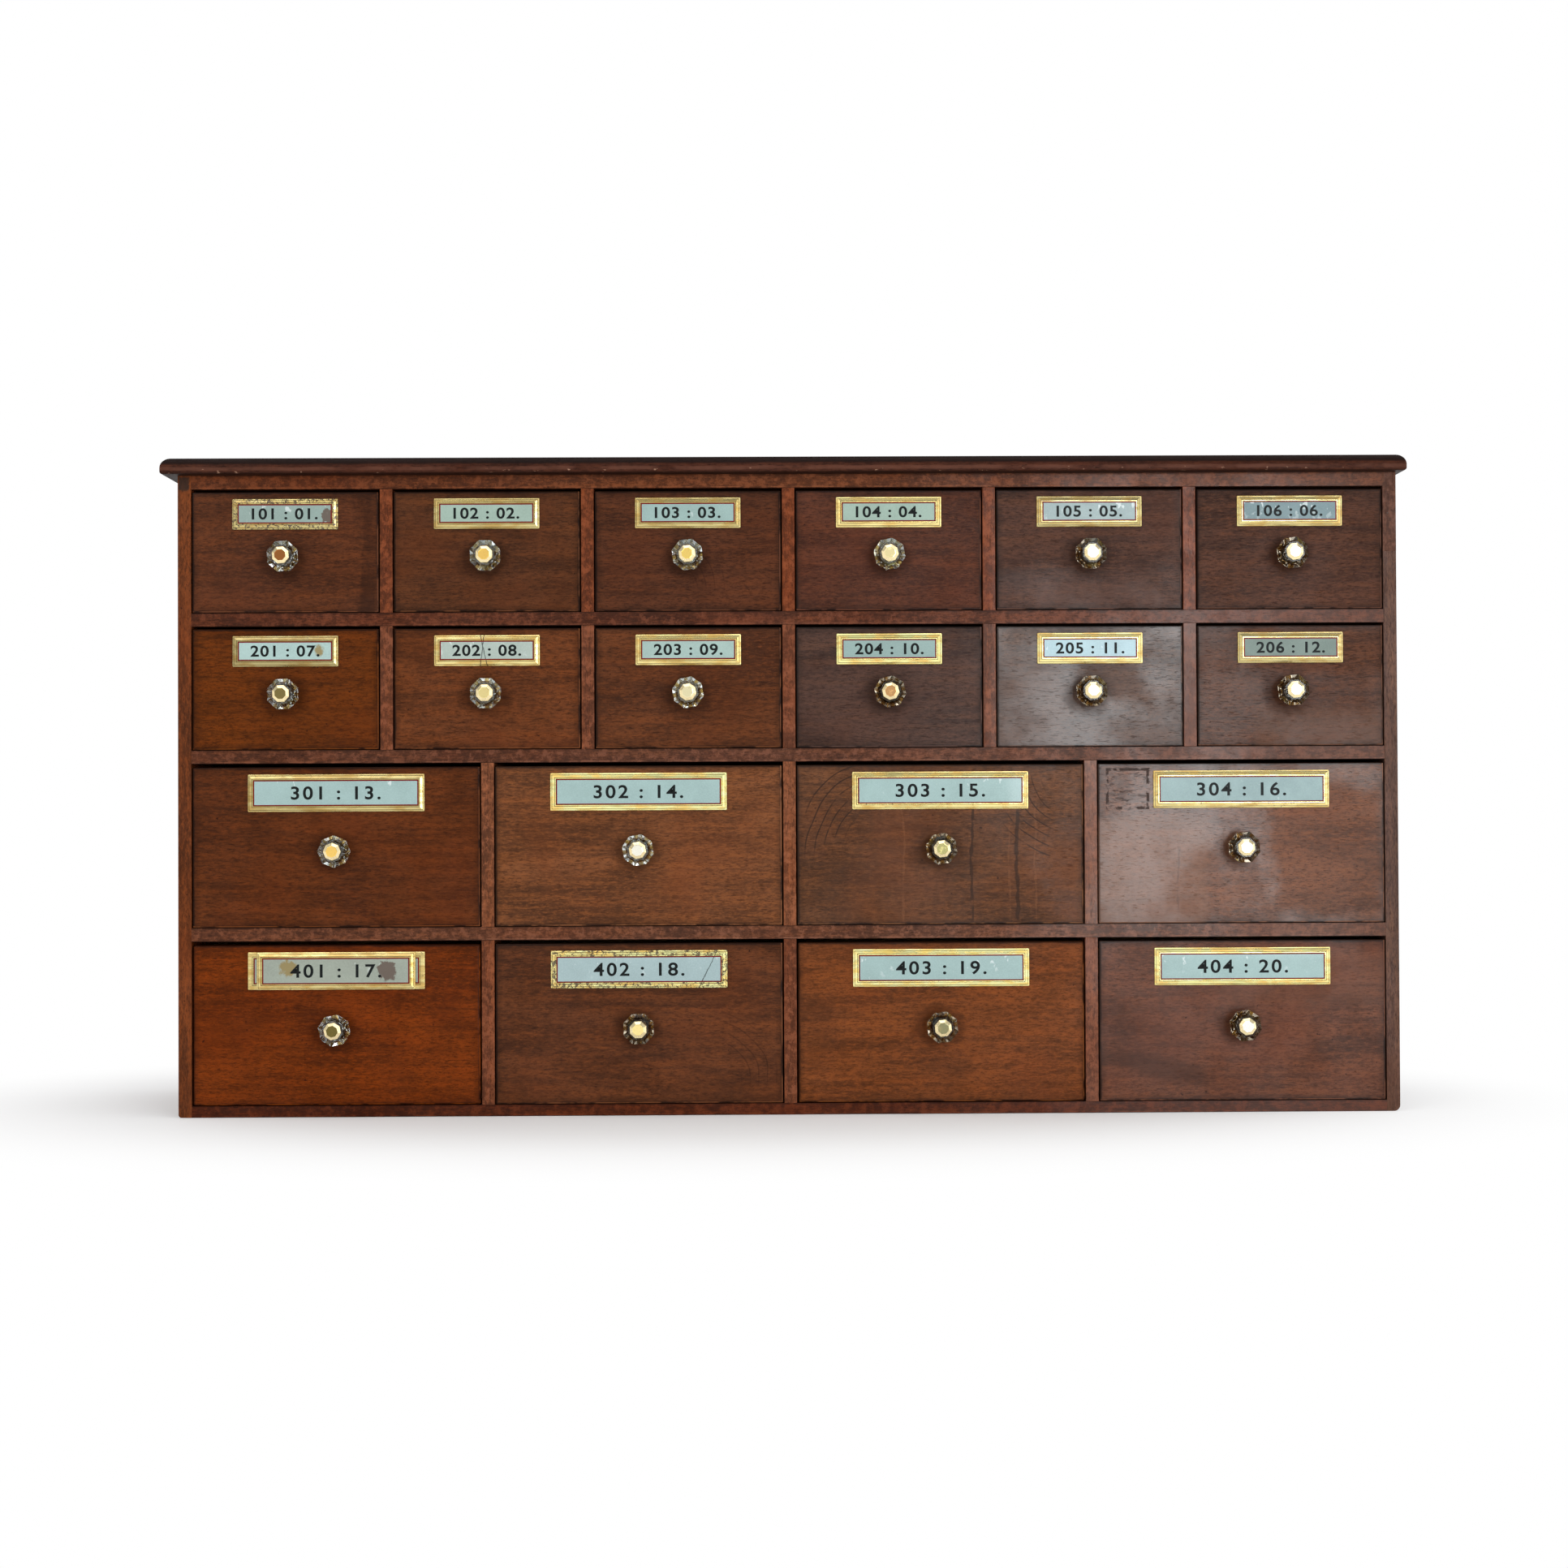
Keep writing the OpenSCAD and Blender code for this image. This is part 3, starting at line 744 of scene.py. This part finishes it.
def loose_parts(piece):
    """Splits a piece into its separate solids and gives them as a list."""
    edit(piece)
    bpy.ops.mesh.separate(type="LOOSE")
    switch_to("OBJECT")
    return list(bpy.context.selected_objects)


def extent(piece):
    """Lowest and highest corner of a mesh in mm."""
    corners = [v.co / MM for v in piece.data.vertices]
    return (Vector(min(c[k] for c in corners) for k in range(3)),
            Vector(max(c[k] for c in corners) for k in range(3)))


def belongs(piece, body, slot, *nodes):
    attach(piece, body)
    if nodes:
        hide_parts(*nodes)
    return piece


print("modelling tools ready")

# %% [markdown]
# ## The top board
# Its front and two ends have a wide round above and a small one below. A joiner planes them from the
# solid, and so does this: the three upper edges are rounded in one cut, then the three lower ones.

# %% Top board
UPPER_ROUND, LOWER_ROUND = 10.5, 2.5
low, high = (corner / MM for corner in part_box("top_board"))
top = block("top_board_moulded", low, high)
round_edges(top, lambda c: level(c, 2, high.z) and not level(c, 1, high.y), UPPER_ROUND, 8)
round_edges(top, lambda c: level(c, 2, low.z) and not level(c, 1, high.y), LOWER_ROUND, 4)
smooth(soften(top, 0.4, 2, 50))


def nose_wear_shade_highlight(here, x, z, tone, colour, rough, coat):
    """The rounded top is painted nearly black, a light line along the nose is rubbed wear and a
    painted highlight, the underside is painted shade, and chips show pale.
    """
    sway = (noise(here, 30, 4, 0.65) - 0.5) * 3.0
    upper = ease(z + sway * 0.5, -0.5, 2.5) * (1 - ease(z, 7.5, 8.2))
    colour = blend(upper * 0.90, colour, linear((18, 8, 6)))
    # Painted highlight, partly rubbed wear: a light line along the nose.
    worn_highlight = (1 - ease(abs(z + 3.6 + sway), 0.8, 2.6)) * ease(noise(here, 24, 3, 0.6), 0.34, 0.58)
    colour = blend(worn_highlight * 0.65, colour, linear((96, 60, 47)))
    # Painted shade: the underside of the round is darkened as its own shadow.
    under_shade = 1 - ease(z, -8.2, -6.4)
    colour = blend(under_shade * 0.8, colour, linear((34, 20, 15)))
    chips = ease(noise(moved(here, scale=(0.35, 1, 1)), 320, 3, 0.6), 0.66, 0.69)
    colour = blend(chips * (1 - ease(abs(z + 5.5), 1.5, 2.5)) * 0.6, colour, linear((176, 136, 112)))
    return colour, rough, coat


finish_with(top, mahogany("dark_mahogany_top", (62, 34, 25), "X", 3.1,
                          (0, (low.z + high.z) / 2, 1400, 40), 0.02, [nose_wear_shade_highlight]))
belongs(top, "carcass", "dark_mahogany", "top_board")
print("top board:", len(top.data.polygons), "faces")

# %% [markdown]
# ## Sides, shelves and dividers
# These boards are right in the measured model. A merged copy of each gets what a drawing leaves out:
# arrises worn soft, and the two feet rounded where the cabinet has been dragged across counters.

# %% Carcass boards
BOARDS = {
    # node: (tone, grain, seed, redder at the left end, greyer at the right end as a painted reflection
    # of the window)
    "left_side": ((104, 54, 26), "Z", 1.0, 0, 0),
    "right_side": ((90, 66, 58), "Z", 2.3, 0, 0),
    "bottom_board": ((81, 37, 17), "X", 3.7, 0.9, 0.25),
    "sub_top": ((100, 55, 32), "X", 4.1, 0.9, 0.2),
    "shelf_1": ((87, 48, 32), "X", 5.9, 0.9, 0.25),
    "shelf_2": ((94, 58, 43), "X", 6.2, 0.9, 0.25),
    "shelf_3": ((101, 63, 46), "X", 7.4, 0.9, 0.25),
    "row_1_dividers": ((107, 55, 31), "Z", 8.8, 0, 0.08),
    "row_2_dividers": ((108, 62, 42), "Z", 9.1, 0, 0.65),
    "row_3_dividers": ((118, 70, 46), "Z", 10.5, 0, 0.85),
    "row_4_dividers": ((110, 62, 40), "Z", 11.2, 0, 0.30),
    "stile_patch": ((86, 58, 48), "Z", 12.6, 0, 0),
}
FOOT_ROUND = {"left_side": 3.0, "right_side": 6.0}      # measured on the lower outer corners
ALL_OF_IT = 3000      # wider and higher than the cabinet, so that no edge of the area shows


def corner_block(here, x, z, tone, colour, rough, coat):
    """A dark knot at the top of the left side's front edge."""
    sway = (noise(here, 120, 4, 0.7) - 0.5) * 6
    mask = (1 - ease(abs(z - 622.5) + sway, 5, 8)) * (1 - ease(abs(x + 0.5) + sway, 4, 6))
    return blend(mask * 0.85, colour, linear((46, 36, 30))), rough, coat


def knocked(here, x, z, tone, colour, rough, coat):
    """Small blackened and rubbed patches, as the narrow edges of boards have."""
    patches = noise(here, 130, 4, 0.72)
    colour = blend(ease(patches, 0.50, 0.60) * 0.55, colour, times(tone, 0.38))
    return blend((1 - ease(patches, 0.38, 0.48)) * 0.55, colour, times(tone, 1.75)), rough, coat


def redder_left_glare_right(redder, glare_grey):
    """Wood that is redder and darker at the left end; at the right end greyed as a painted reflection
    of the window, and shinier.
    """
    def mark(here, x, z, tone, colour, rough, coat):
        left, right = 1 - ease(x, -640, 60), ease(x, 100, 600)
        colour = blend(left * redder, colour, (0.86, 0.74, 0.62), "MULTIPLY")
        gloss = ease(x, 60, 260) * (1 - ease(x, 420, 600))
        # Painted reflection: the right end of the board is greyed like the window's glare on it.
        return blend(right * glare_grey, colour, linear((112, 92, 86))), rough, coat * (1 + gloss * 2.5)
    return mark


for node, (shade, along, seed, redder, glare_grey) in BOARDS.items():
    board = merged_copy(node, node + "_worn")
    if node in FOOT_ROUND:
        outer = extent(board)[0 if node == "left_side" else 1].x
        round_edges(board, lambda c: level(c, 2, 0) and level(c, 0, outer), FOOT_ROUND[node], 4)
    smooth(soften(board, 0.5, 2, 50), 30)
    low, high = extent(board)
    area, marks = (0, 0, ALL_OF_IT, ALL_OF_IT), [knocked, redder_left_glare_right(redder, glare_grey)]
    if along == "X":
        area = (0, (low.z + high.z) / 2, ALL_OF_IT, high.z - low.z)
    elif node in FOOT_ROUND:
        area = ((low.x + high.x) / 2, 0, high.x - low.x, ALL_OF_IT)
        marks = [corner_block] if node == "left_side" else []
    finish_with(board, mahogany(node + "_wood", shade, along, seed, area, 0.08, marks,
                                edges=along == "X"))
    belongs(board, "carcass", "mahogany", node)

KEPT = {"back_boards": pine("back_pine", "X", 4.4, (126, 100, 72)),
        "drawer_stops": pine("stop_pine", "X", 2.2),
        "back_nails": iron("nail_iron"), "patch_pins": iron("pin_iron"),
        "top_screws": brass("screw_brass", (214, 172, 96), (120, 86, 46), 5.0)}
for node, material in KEPT.items():
    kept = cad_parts[node]
    for k in range(len(kept.material_slots)):
        kept.material_slots[k].link = "OBJECT"
        kept.material_slots[k].material = material
    if node in ("back_boards", "drawer_stops"):
        weld = kept.modifiers.new("merged", "WELD")
        weld.merge_threshold = MERGED
        fine_bevel(kept, 0.6, 2, 50)
print("carcass boards:", len(BOARDS), "reworked,", len(KEPT), "kept")

# %% [markdown]
# ## A drawer's five boards
# The measured model holds the dovetails, so its merged copy is split into the five boards. The
# front's arrises are rounded more, because hands and the next drawer have rubbed them.

# %% Drawer boards
THICKEST = 20      # mm, more than any board of a drawer
BOLT_HOLE = 6.2


def drawer_boards(node):
    """The five boards of a drawer by name, told apart by their size and place."""
    parts = [(*extent(part), part) for part in loose_parts(merged_copy(node, "drawer_part"))]
    front_y, left_x = min(low.y for low, high, part in parts), min(low.x for low, high, part in parts)
    boards = {}
    for low, high, part in parts:
        size = high - low
        if size.y < THICKEST:
            name = "front" if low.y - front_y < 0.1 else "back"
        elif size.z < THICKEST:
            name = "bottom"
        else:
            name = "left" if low.x - left_x < 1 else "right"
        boards[name] = part
    return boards


def worn_front(front, corner):
    """Rounds the four corners of a drawer front, then the edges of its face, but not the hole's."""
    low, high = extent(front)
    round_edges(front, lambda c: (level(c, 0, low.x) or level(c, 0, high.x)) and (
        level(c, 2, low.z) or level(c, 2, high.z)), corner, 3)
    round_edges(front, lambda c: level(c, 1, low.y) and not all(
        abs(v.x - (low.x + high.x) / 2) < BOLT_HOLE for v in c), 0.9, 3)
    return smooth(soften(front, 0.25, 1, 50), 40)


LININGS = {"left": "Y", "right": "Y", "back": "X", "bottom": "X"}      # and their grain
print("drawer boards are split from the measured drawers")

# %% [markdown]
# ## The glass knob
# Each knob is one lump of cut glass: a foot, a narrow neck, a wide girdle and eight crown facets up
# to a flat table. A lathe would make it round, so an eight-sided face is pulled out in stages and
# resized at each. The facets stay flat but for a hair of bevel, which catches the light.

# %% Knob, bolt and rings
KNOB_STAGES = [(2.1, 18), (5, 14), (13, 32), (16.5, 32), (24, 21)]      # distance, width
HEAD_STAGES = [(24.1, 17.5), (25.3, 17.5), (27.6, 11.1)]
SHANK_STAGES = [(-23.3, 5), (24.1, 5)]
COLLAR_STAGES = [(0, 20), (2, 20)]
WASHER_STAGES = [(-16.2, 14), (-15, 14)]
NUT_STAGES = [(-20.3, 10), (-16.3, 10)]


def staged(name, sides, stages):
    """A solid whose section is resized at each distance in front of the drawer, in mm."""
    let_go()
    from_front, wide = stages[0]
    bpy.ops.mesh.primitive_circle_add(vertices=sides, radius=wide / 2 * MM, fill_type="NGON",
                                      location=(0, -from_front * MM, 0),
                                      rotation=(radians(90), 0, 0))
    piece = settle(bpy.context.object)
    piece.name = name
    for distance, width in stages[1:]:
        pick(piece, "FACE", lambda c: level(c, 1, -from_front))
        bpy.ops.mesh.extrude_region_move(
            TRANSFORM_OT_translate={"value": (0, (from_front - distance) * MM, 0)})
        bpy.ops.transform.resize(value=(width / wide, 1, width / wide),
                                 center_override=(0, -distance * MM, 0))
        from_front, wide = distance, width
        switch_to("OBJECT")
    return done(edit(piece))


def bored(name, sides, stages, hole=BOLT_HOLE):
    """A staged solid with a hole along it: both end faces drawn in, taken away and bridged."""
    piece = staged(name, sides, stages)
    ends = stages[0], stages[-1]
    for at, wide in ends:
        pick(piece, "FACE", lambda c: level(c, 1, -at))
        bpy.ops.mesh.inset(thickness=0.5 * MM, depth=0)
        bpy.ops.transform.resize(value=(hole / (wide - 1.0), 1, hole / (wide - 1.0)),
                                 center_override=(0, -at * MM, 0))
        switch_to("OBJECT")
    pick(piece, "FACE", lambda c: any(level(c, 1, -at) for at, wide in ends) and all(
        Vector((v.x, v.z)).length < hole * 0.8 for v in c))
    bpy.ops.mesh.bridge_edge_loops()
    return done(piece)


blank = bpy.data.materials.new("blank")
glass_knob = soften(bored("glass_knob", 8, KNOB_STAGES), 0.3, 1, 20)
bolt_head = soften(staged("bolt_head", 8, HEAD_STAGES), 0.25, 2, 30)
finish_with(bolt_head, blank, blank)
pick(bolt_head, "FACE", lambda c: all(v.y < 0.3 - HEAD_STAGES[-1][0] for v in c))
number_picked(1)
done(bolt_head)
bolt_shank = smooth(soften(staged("bolt_shank", 24, SHANK_STAGES), 0.3, 2, 60))
collar = smooth(soften(bored("collar", 32, COLLAR_STAGES), 0.5, 3, 60))
washer = smooth(soften(bored("washer", 32, WASHER_STAGES), 0.2, 2, 60))
nut = soften(bored("nut", 4, NUT_STAGES, BOLT_HOLE * 0.9), 0.3, 2, 60)
KNOB_PARTS = (glass_knob, bolt_head, bolt_shank, collar, washer, nut)
for kind in KNOB_PARTS:
    print(kind.name, len(kind.data.polygons), "faces")

# %% [markdown]
# ## The labels
# A label is a slip of glass with four bevelled edges, gilded and painted behind, so its lines read
# as flush bands; the dark line where the bevel meets the flat is a painted reflection of that arris.
# The slip is a low box whose face is drawn in and raised for the bevel, then drawn in again for each
# band, and each ring of faces gets its own finish. The numerals are text turned to a mesh a hair
# proud of the ground.

# %% Labels
LABEL_T, BEVEL_DROP = 3.0, 1.4
GILT, DARK, RED, GROUND = range(4)
BEVEL_BANDS = [(1.5, 0.7, GILT), (0.45, 0, DARK), (2.25, 0.7, GILT)]      # width, rise, finish
# The first dark band, where the bevel meets the flat, is a painted reflection of that arris.
BORDER_BANDS = [(0.55, 0, DARK), (0.75, 0, GILT), (0.30, 0, DARK), (1.15, 0, RED)]
SMALL_WIDE, SMALL_HIGH = 104, 30.5
LARGE_WIDE, LARGE_HIGH = 173.5, 37
SHORT_WIDE, SHORT_LIFT, UNDER_T = 155.5, 2.1, 2.0      # the two slips of drawer 17


def label_slip(name, wide, high, thick=LABEL_T, lift=0.0, bevelled=True):
    """A slip of glass on the drawer front, its middle at the origin, its face towards -Y."""
    edge_y = -(lift + thick - (BEVEL_DROP if bevelled else 0))
    slip = block(name, (-wide / 2, edge_y, -high / 2), (wide / 2, -lift, high / 2))
    finish_with(slip, blank, blank, blank, blank)
    flat = [(sum(width for width, rise, finish in BEVEL_BANDS), 0, GILT)]
    face_y, inward = edge_y, 0.0
    for width, rise, finish in [*(BEVEL_BANDS if bevelled else flat), *BORDER_BANDS, (0, 0, GROUND)]:
        half_x, half_z = wide / 2 - inward + 0.05, high / 2 - inward + 0.05
        pick(slip, "FACE", lambda c: level(c, 1, face_y) and all(
            abs(v.x) < half_x and abs(v.z) < half_z for v in c))
        number_picked(finish)
        if width:
            bpy.ops.mesh.inset(thickness=width * MM, depth=0)
            bpy.ops.transform.translate(value=(0, -rise * MM, 0))
        switch_to("OBJECT")
        face_y -= rise
        inward += width
    done(edit(slip))
    round_edges(slip, lambda c: all(v.y > edge_y - 0.01 for v in c) and (
        level(c, 0, wide / 2) or level(c, 0, -wide / 2)) and (
        level(c, 2, high / 2) or level(c, 2, -high / 2)), 0.8, 2)
    return slip


def numeral(name, text, cap_height, spacing):
    """Painted figures, facing -Y, their middle at the origin."""
    let_go()
    bpy.ops.object.text_add(rotation=(radians(90), 0, 0))
    words = bpy.context.object
    words.name = name
    words.data.body = text
    words.data.size = cap_height / 0.73 * MM
    words.data.extrude = 0.02 * MM
    words.data.offset = 0.34 * MM
    words.data.space_character = spacing
    words.data.align_x = "CENTER"
    words.data.resolution_u = 6
    words.scale.x = 1.15
    bpy.ops.object.convert(target="MESH")
    words = edit(settle(bpy.context.object))
    bpy.ops.mesh.select_all(action="SELECT")
    bpy.ops.mesh.remove_doubles(threshold=MERGED / 10)
    switch_to("OBJECT")
    low, high = extent(words)
    words.data.transform(Matrix.Translation(-(low + high) / 2 * MM))
    return words


small_slip = label_slip("small_label", SMALL_WIDE, SMALL_HIGH)
large_slip = label_slip("large_label", LARGE_WIDE, LARGE_HIGH)
short_slip = label_slip("short_label", SHORT_WIDE, LARGE_HIGH, lift=SHORT_LIFT)
under_slip = label_slip("under_label", LARGE_WIDE, LARGE_HIGH, thick=UNDER_T, bevelled=False)
SLIPS = (small_slip, large_slip, short_slip, under_slip)
for kind in SLIPS:
    print(kind.name, len(kind.data.polygons), "faces")

# %% [markdown]
# ## Twenty drawers
# No two are alike: the window's sheen greys those on the right, and pale patches paint more of that
# reflection in, spills have run down some fronts, and labels have cracked or lost paint. Tables hold
# what is special, and one loop builds them all.

# %% What is special about each drawer
SMALL, LARGE = (54.2, 97.0, 10.9, 1.12), (74.7, 132.0, 13.0, 1.22)  # knob, label, figure, spacing
TURNS = [4, 0, 6, 12, 0, 8, 2, 0, 10, 14, 3, 6, 22, 10, 8, 4, 12, 2, 6, 9]
TONES = [
    (83, 45, 25), (79, 45, 25), (76, 42, 25), (79, 43, 28), (74, 48, 38), (74, 46, 34),
    (86, 41, 8), (91, 49, 24), (86, 47, 24), (68, 46, 38), (76, 54, 44), (80, 48, 32),
    (86, 43, 17), (108, 65, 38), (93, 57, 33), (98, 60, 40),
    (104, 45, 7), (90, 50, 27), (108, 58, 25), (92, 54, 37)]
SHEENS = [0.08, 0.06, 0.06, 0.12, 0.18, 0.06, 0.04, 0.06, 0.08, 0.16, 0.75, 0.22,
          0.06, 0.08, 0.18, 0.65, 0.04, 0.08, 0.1, 0.26]
HEAD_TARNISH_AND_GLINT = {       # colour of the lacquered face: gold, darker where it has turned, near white where it is a painted reflection of the window
    1: (160, 104, 58), 3: (255, 222, 126), 4: (250, 236, 180), 5: (255, 254, 246),
    6: (250, 234, 204), 7: (136, 122, 76), 8: (244, 226, 160), 9: (246, 238, 196),
    10: (208, 160, 108), 11: (246, 230, 176), 12: (255, 250, 226), 14: (255, 253, 238),
    15: (186, 180, 122), 16: (255, 255, 250), 17: (112, 100, 54), 18: (255, 232, 156),
    19: (146, 142, 106), 20: (255, 253, 240)}
HEAD_GOLD = (255, 212, 116)
DIM_KNOBS = {5, 6, 10, 11, 12, 15, 16, 18, 19, 20}
LEAF_GLEAM = [0.66, 0.66, 0.70, 0.98, 0.64, 0.82, 0.46, 0.88, 0.92, 1.15, 1.05, 0.74,
              0.64, 1.30, 1.05, 0.95, 0.80, 1.30, 1.40, 1.15]
GROUND_COAT = {5: 0.3, 6: 0.15, 12: 0.1, 16: 0.2, 11: 0.6}
LEAF_WEAR = {1: 0.95, 3: 0.35, 5: 0.4, 7: 0.55, 8: 0.3, 12: 0.3, 13: 0.5, 15: 0.55, 16: 0.6,
             17: 0.6, 18: 0.95, 19: 0.45, 20: 0.4}
GROUNDS = {1: (138, 158, 152), 3: (146, 172, 168), 5: (142, 160, 160), 6: (112, 134, 138),
           7: (164, 190, 186), 8: (166, 180, 172), 9: (156, 180, 174), 10: (138, 162, 158),
           11: (150, 180, 188), 12: (110, 126, 118), 16: (136, 160, 160), 17: (150, 158, 146),
           18: (160, 182, 184)}
SMALL_GROUND, LARGE_GROUND = (150, 172, 160), (154, 180, 178)
FRONT_MARKS = {
    1: [dark_streak(80, 9, 0.65)],
    3: [scratches(-20, -40, 60, 1, 1, 0.35)],
    5: [pale_glare_patch(10, -42, 120, 20, 0.30, 1.7), bare(0, 26, 190, 90)],
    7: [dark_streak(-88, 8, 0.3)],
    11: [pale_glare_patch(-60, -20, 60, 80, 0.35, 1.6), bare(22, 8, 70, 50)],
    12: [pale_glare_patch(30, -40, 120, 40, 0.4, 1.5), bare(30, 34, 150, 50)],
    15: [drips([(31, 1.0), (76, 1.6)], -80, 44, 0.8),
         drips([(-36, 0), (68, 0), (94, 0)], -78, 44, 0.22, 2.2),
         scratches(140, 72, 100, -1, -1, 0.8), scratches(-50, -8, 104, -1, 1, 0.8)],
    16: [pale_glare_patch(-90, -30, 110, 110, 0.45, 1.5), bare(85, -8, 110, 130),
         old_label(-112, 54, 40, 38), drips([(-62, 0.1)], -70, 0, 0.4)],
    18: [scratches(60, -60, 80, 1, 1, 0.4)],
    20: [flame(-95, -42, 150), pale_glare_patch(60, 40, 160, 50, 0.3, 1.3)],
}
GROUND_FLAWS = {
    1: {"lost": (42, -2, 6.5), "blotches": 0.5}, 3: {"blotches": 0.4}, 5: {"blotches": 0.9},
    6: {"blotches": 0.9}, 7: {"stain": (33, 0, 6.0), "blotches": 0.4},
    8: {"blotches": 0.7, "cracks": [(-4.5, 0.12), (-3.0, -0.22)]}, 11: {"blotches": 0.3},
    13: {"blotches": 0.35}, 15: {"blotches": 0.3}, 16: {"blotches": 0.3},
    17: {"lost": (50, 1, 9.5), "stain": (-46, 3, 9.0), "blotches": 0.3},
    18: {"blotches": 0.4, "cracks": [(68, 0.5)]}, 19: {"blotches": 0.6}, 20: {"blotches": 0.5}}
CORNER_ROUND, WORN_CORNERS = 1.4, {17: 2.6, 19: 2.8}

ink = paint("ink_black", (10, 16, 16), 0.3, 0.5, 0.1, 0.05)
line_dark = paint("line_dark", (84, 66, 26), 0.7)
line_red = paint("line_red", (112, 16, 12), 1.9, coat=0.05)
glass = clear_glass("cut_glass", (0.80, 0.85, 0.84), 1.0)
dim_glass = clear_glass("dim_glass", (0.56, 0.49, 0.38), 0.35)
# The bevel ring's brass is paler than the face's: a painted highlight where the ring catches the
# light.
lit_rim_brass = brass("lit_rim_brass", (255, 236, 184), (226, 182, 108), 3.0, 0.3, 0.25, 0.7)
lacquered = brass("bolt_brass", (214, 176, 100), (128, 96, 50), 1.0, 0.5, 0.2)
# The collar is painted nearly black, as the shade seen round the bolt head through the glass; the
# washer shares it.
shaded_collar_brass = brass("shaded_collar_brass", (84, 64, 36), (40, 30, 20), 2.0, 0.8, 0.35)
nut_iron = iron("nut_iron")


def shelf_number(number):
    """Row and place, then the drawer's own number, as painted on its label."""
    row, place = divmod(number - 1, 6) if number <= 12 else divmod(number - 13, 4)
    row += 1 if number <= 12 else 3
    return f"{row}0{place + 1} : {number:02d}."


print("table for", len(TONES), "drawers")

# %% Build the drawers
for number, shade in enumerate(TONES, start=1):
    drawer = f"drawer_{number:02d}"
    box_node, fittings_node = drawer + "_box", drawer + "_fittings"
    low, high = (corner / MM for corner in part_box(box_node))
    knob_up, label_up, cap, spacing = SMALL if number <= 12 else LARGE
    (mid_x, front_y, mid_z) = (low.x + high.x) / 2, low.y, (low.z + high.z) / 2

    boards = drawer_boards(box_node)
    front = worn_front(boards["front"], WORN_CORNERS.get(number, CORNER_ROUND))
    finish_with(front, mahogany(
        drawer + "_mahogany", shade, "X", number * 1.7, (mid_x, mid_z, high.x - low.x, high.z - low.z),
        SHEENS[number - 1], [*FRONT_MARKS.get(number, ()), knob_shadow_and_grease(low.z + knob_up - mid_z)]))
    front.name = drawer + "_front"
    belongs(front, drawer, "mahogany", box_node)
    for part, along in LININGS.items():
        lining = smooth(soften(boards[part], 0.4, 1, 50), 30)
        lining.name = f"{drawer}_{part}"
        finish_with(lining, pine(f"{drawer}_{part}_pine", along, number + ord(part[0]) * 0.1))
        belongs(lining, drawer, "pine", box_node)

    knob_place = (mid_x, front_y, low.z + knob_up)
    turn = Matrix.Rotation(-radians(22.5 + TURNS[number - 1]), 4, "Y")
    table_brass = brass(drawer + "_head_brass", HEAD_TARNISH_AND_GLINT.get(number, HEAD_GOLD), (190, 150, 80),
                        number * 0.37, 0.25, 0.09)
    for kind, name, finish, slot in (
            (glass_knob, "knob_glass", [dim_glass if number in DIM_KNOBS else glass], "clear_glass"),
            (bolt_head, "bolt_head", [lit_rim_brass, table_brass], "brass"),
            (bolt_shank, "bolt_shank", [lacquered], "brass"),
            (collar, "collar", [shaded_collar_brass], "brass"),
            (washer, "washer", [shaded_collar_brass], "brass"),
            (nut, "nut", [nut_iron], "iron")):
        fitting = finish_with(copy_to(kind, f"{drawer}_{name}", knob_place, turn), *finish)
        belongs(fitting, drawer, slot, fittings_node)

    label_place = Vector((mid_x, front_y, low.z + label_up))
    middle = (label_place.x, label_place.z)
    flaws = GROUND_FLAWS.get(number, {})
    leaf = gilding(drawer + "_gilding", number * 1.3, LEAF_WEAR.get(number, 0.12),
                   LEAF_GLEAM[number - 1], middle, flaws.get("cracks", ()))
    ground = label_ground(
        drawer + "_ground", GROUNDS.get(number, SMALL_GROUND if number <= 12 else LARGE_GROUND),
        number * 2.1, middle, GROUND_COAT.get(number, 0.5), **flaws)
    slips = [(small_slip, "label")] if number <= 12 else [(large_slip, "label")]
    if number == 17:
        slips = [(under_slip, "under_label"), (short_slip, "label")]
    for kind, name in slips:
        slip = copy_to(kind, f"{drawer}_{name}", label_place)
        finish_with(slip, leaf, line_dark, line_red, ground)
        belongs(slip, drawer, "label_gilt", fittings_node)
    face = LABEL_T + (SHORT_LIFT if number == 17 else 0)
    figures = numeral(f"{drawer}_numeral", shelf_number(number), cap, spacing)
    figures.data.transform(Matrix.Translation((label_place - Vector((0, face, 0))) * MM))
    finish_with(figures, ink)
    belongs(figures, drawer, "label_paint", fittings_node)

for kind in (*KNOB_PARTS, *SLIPS):
    bpy.data.objects.remove(kind)
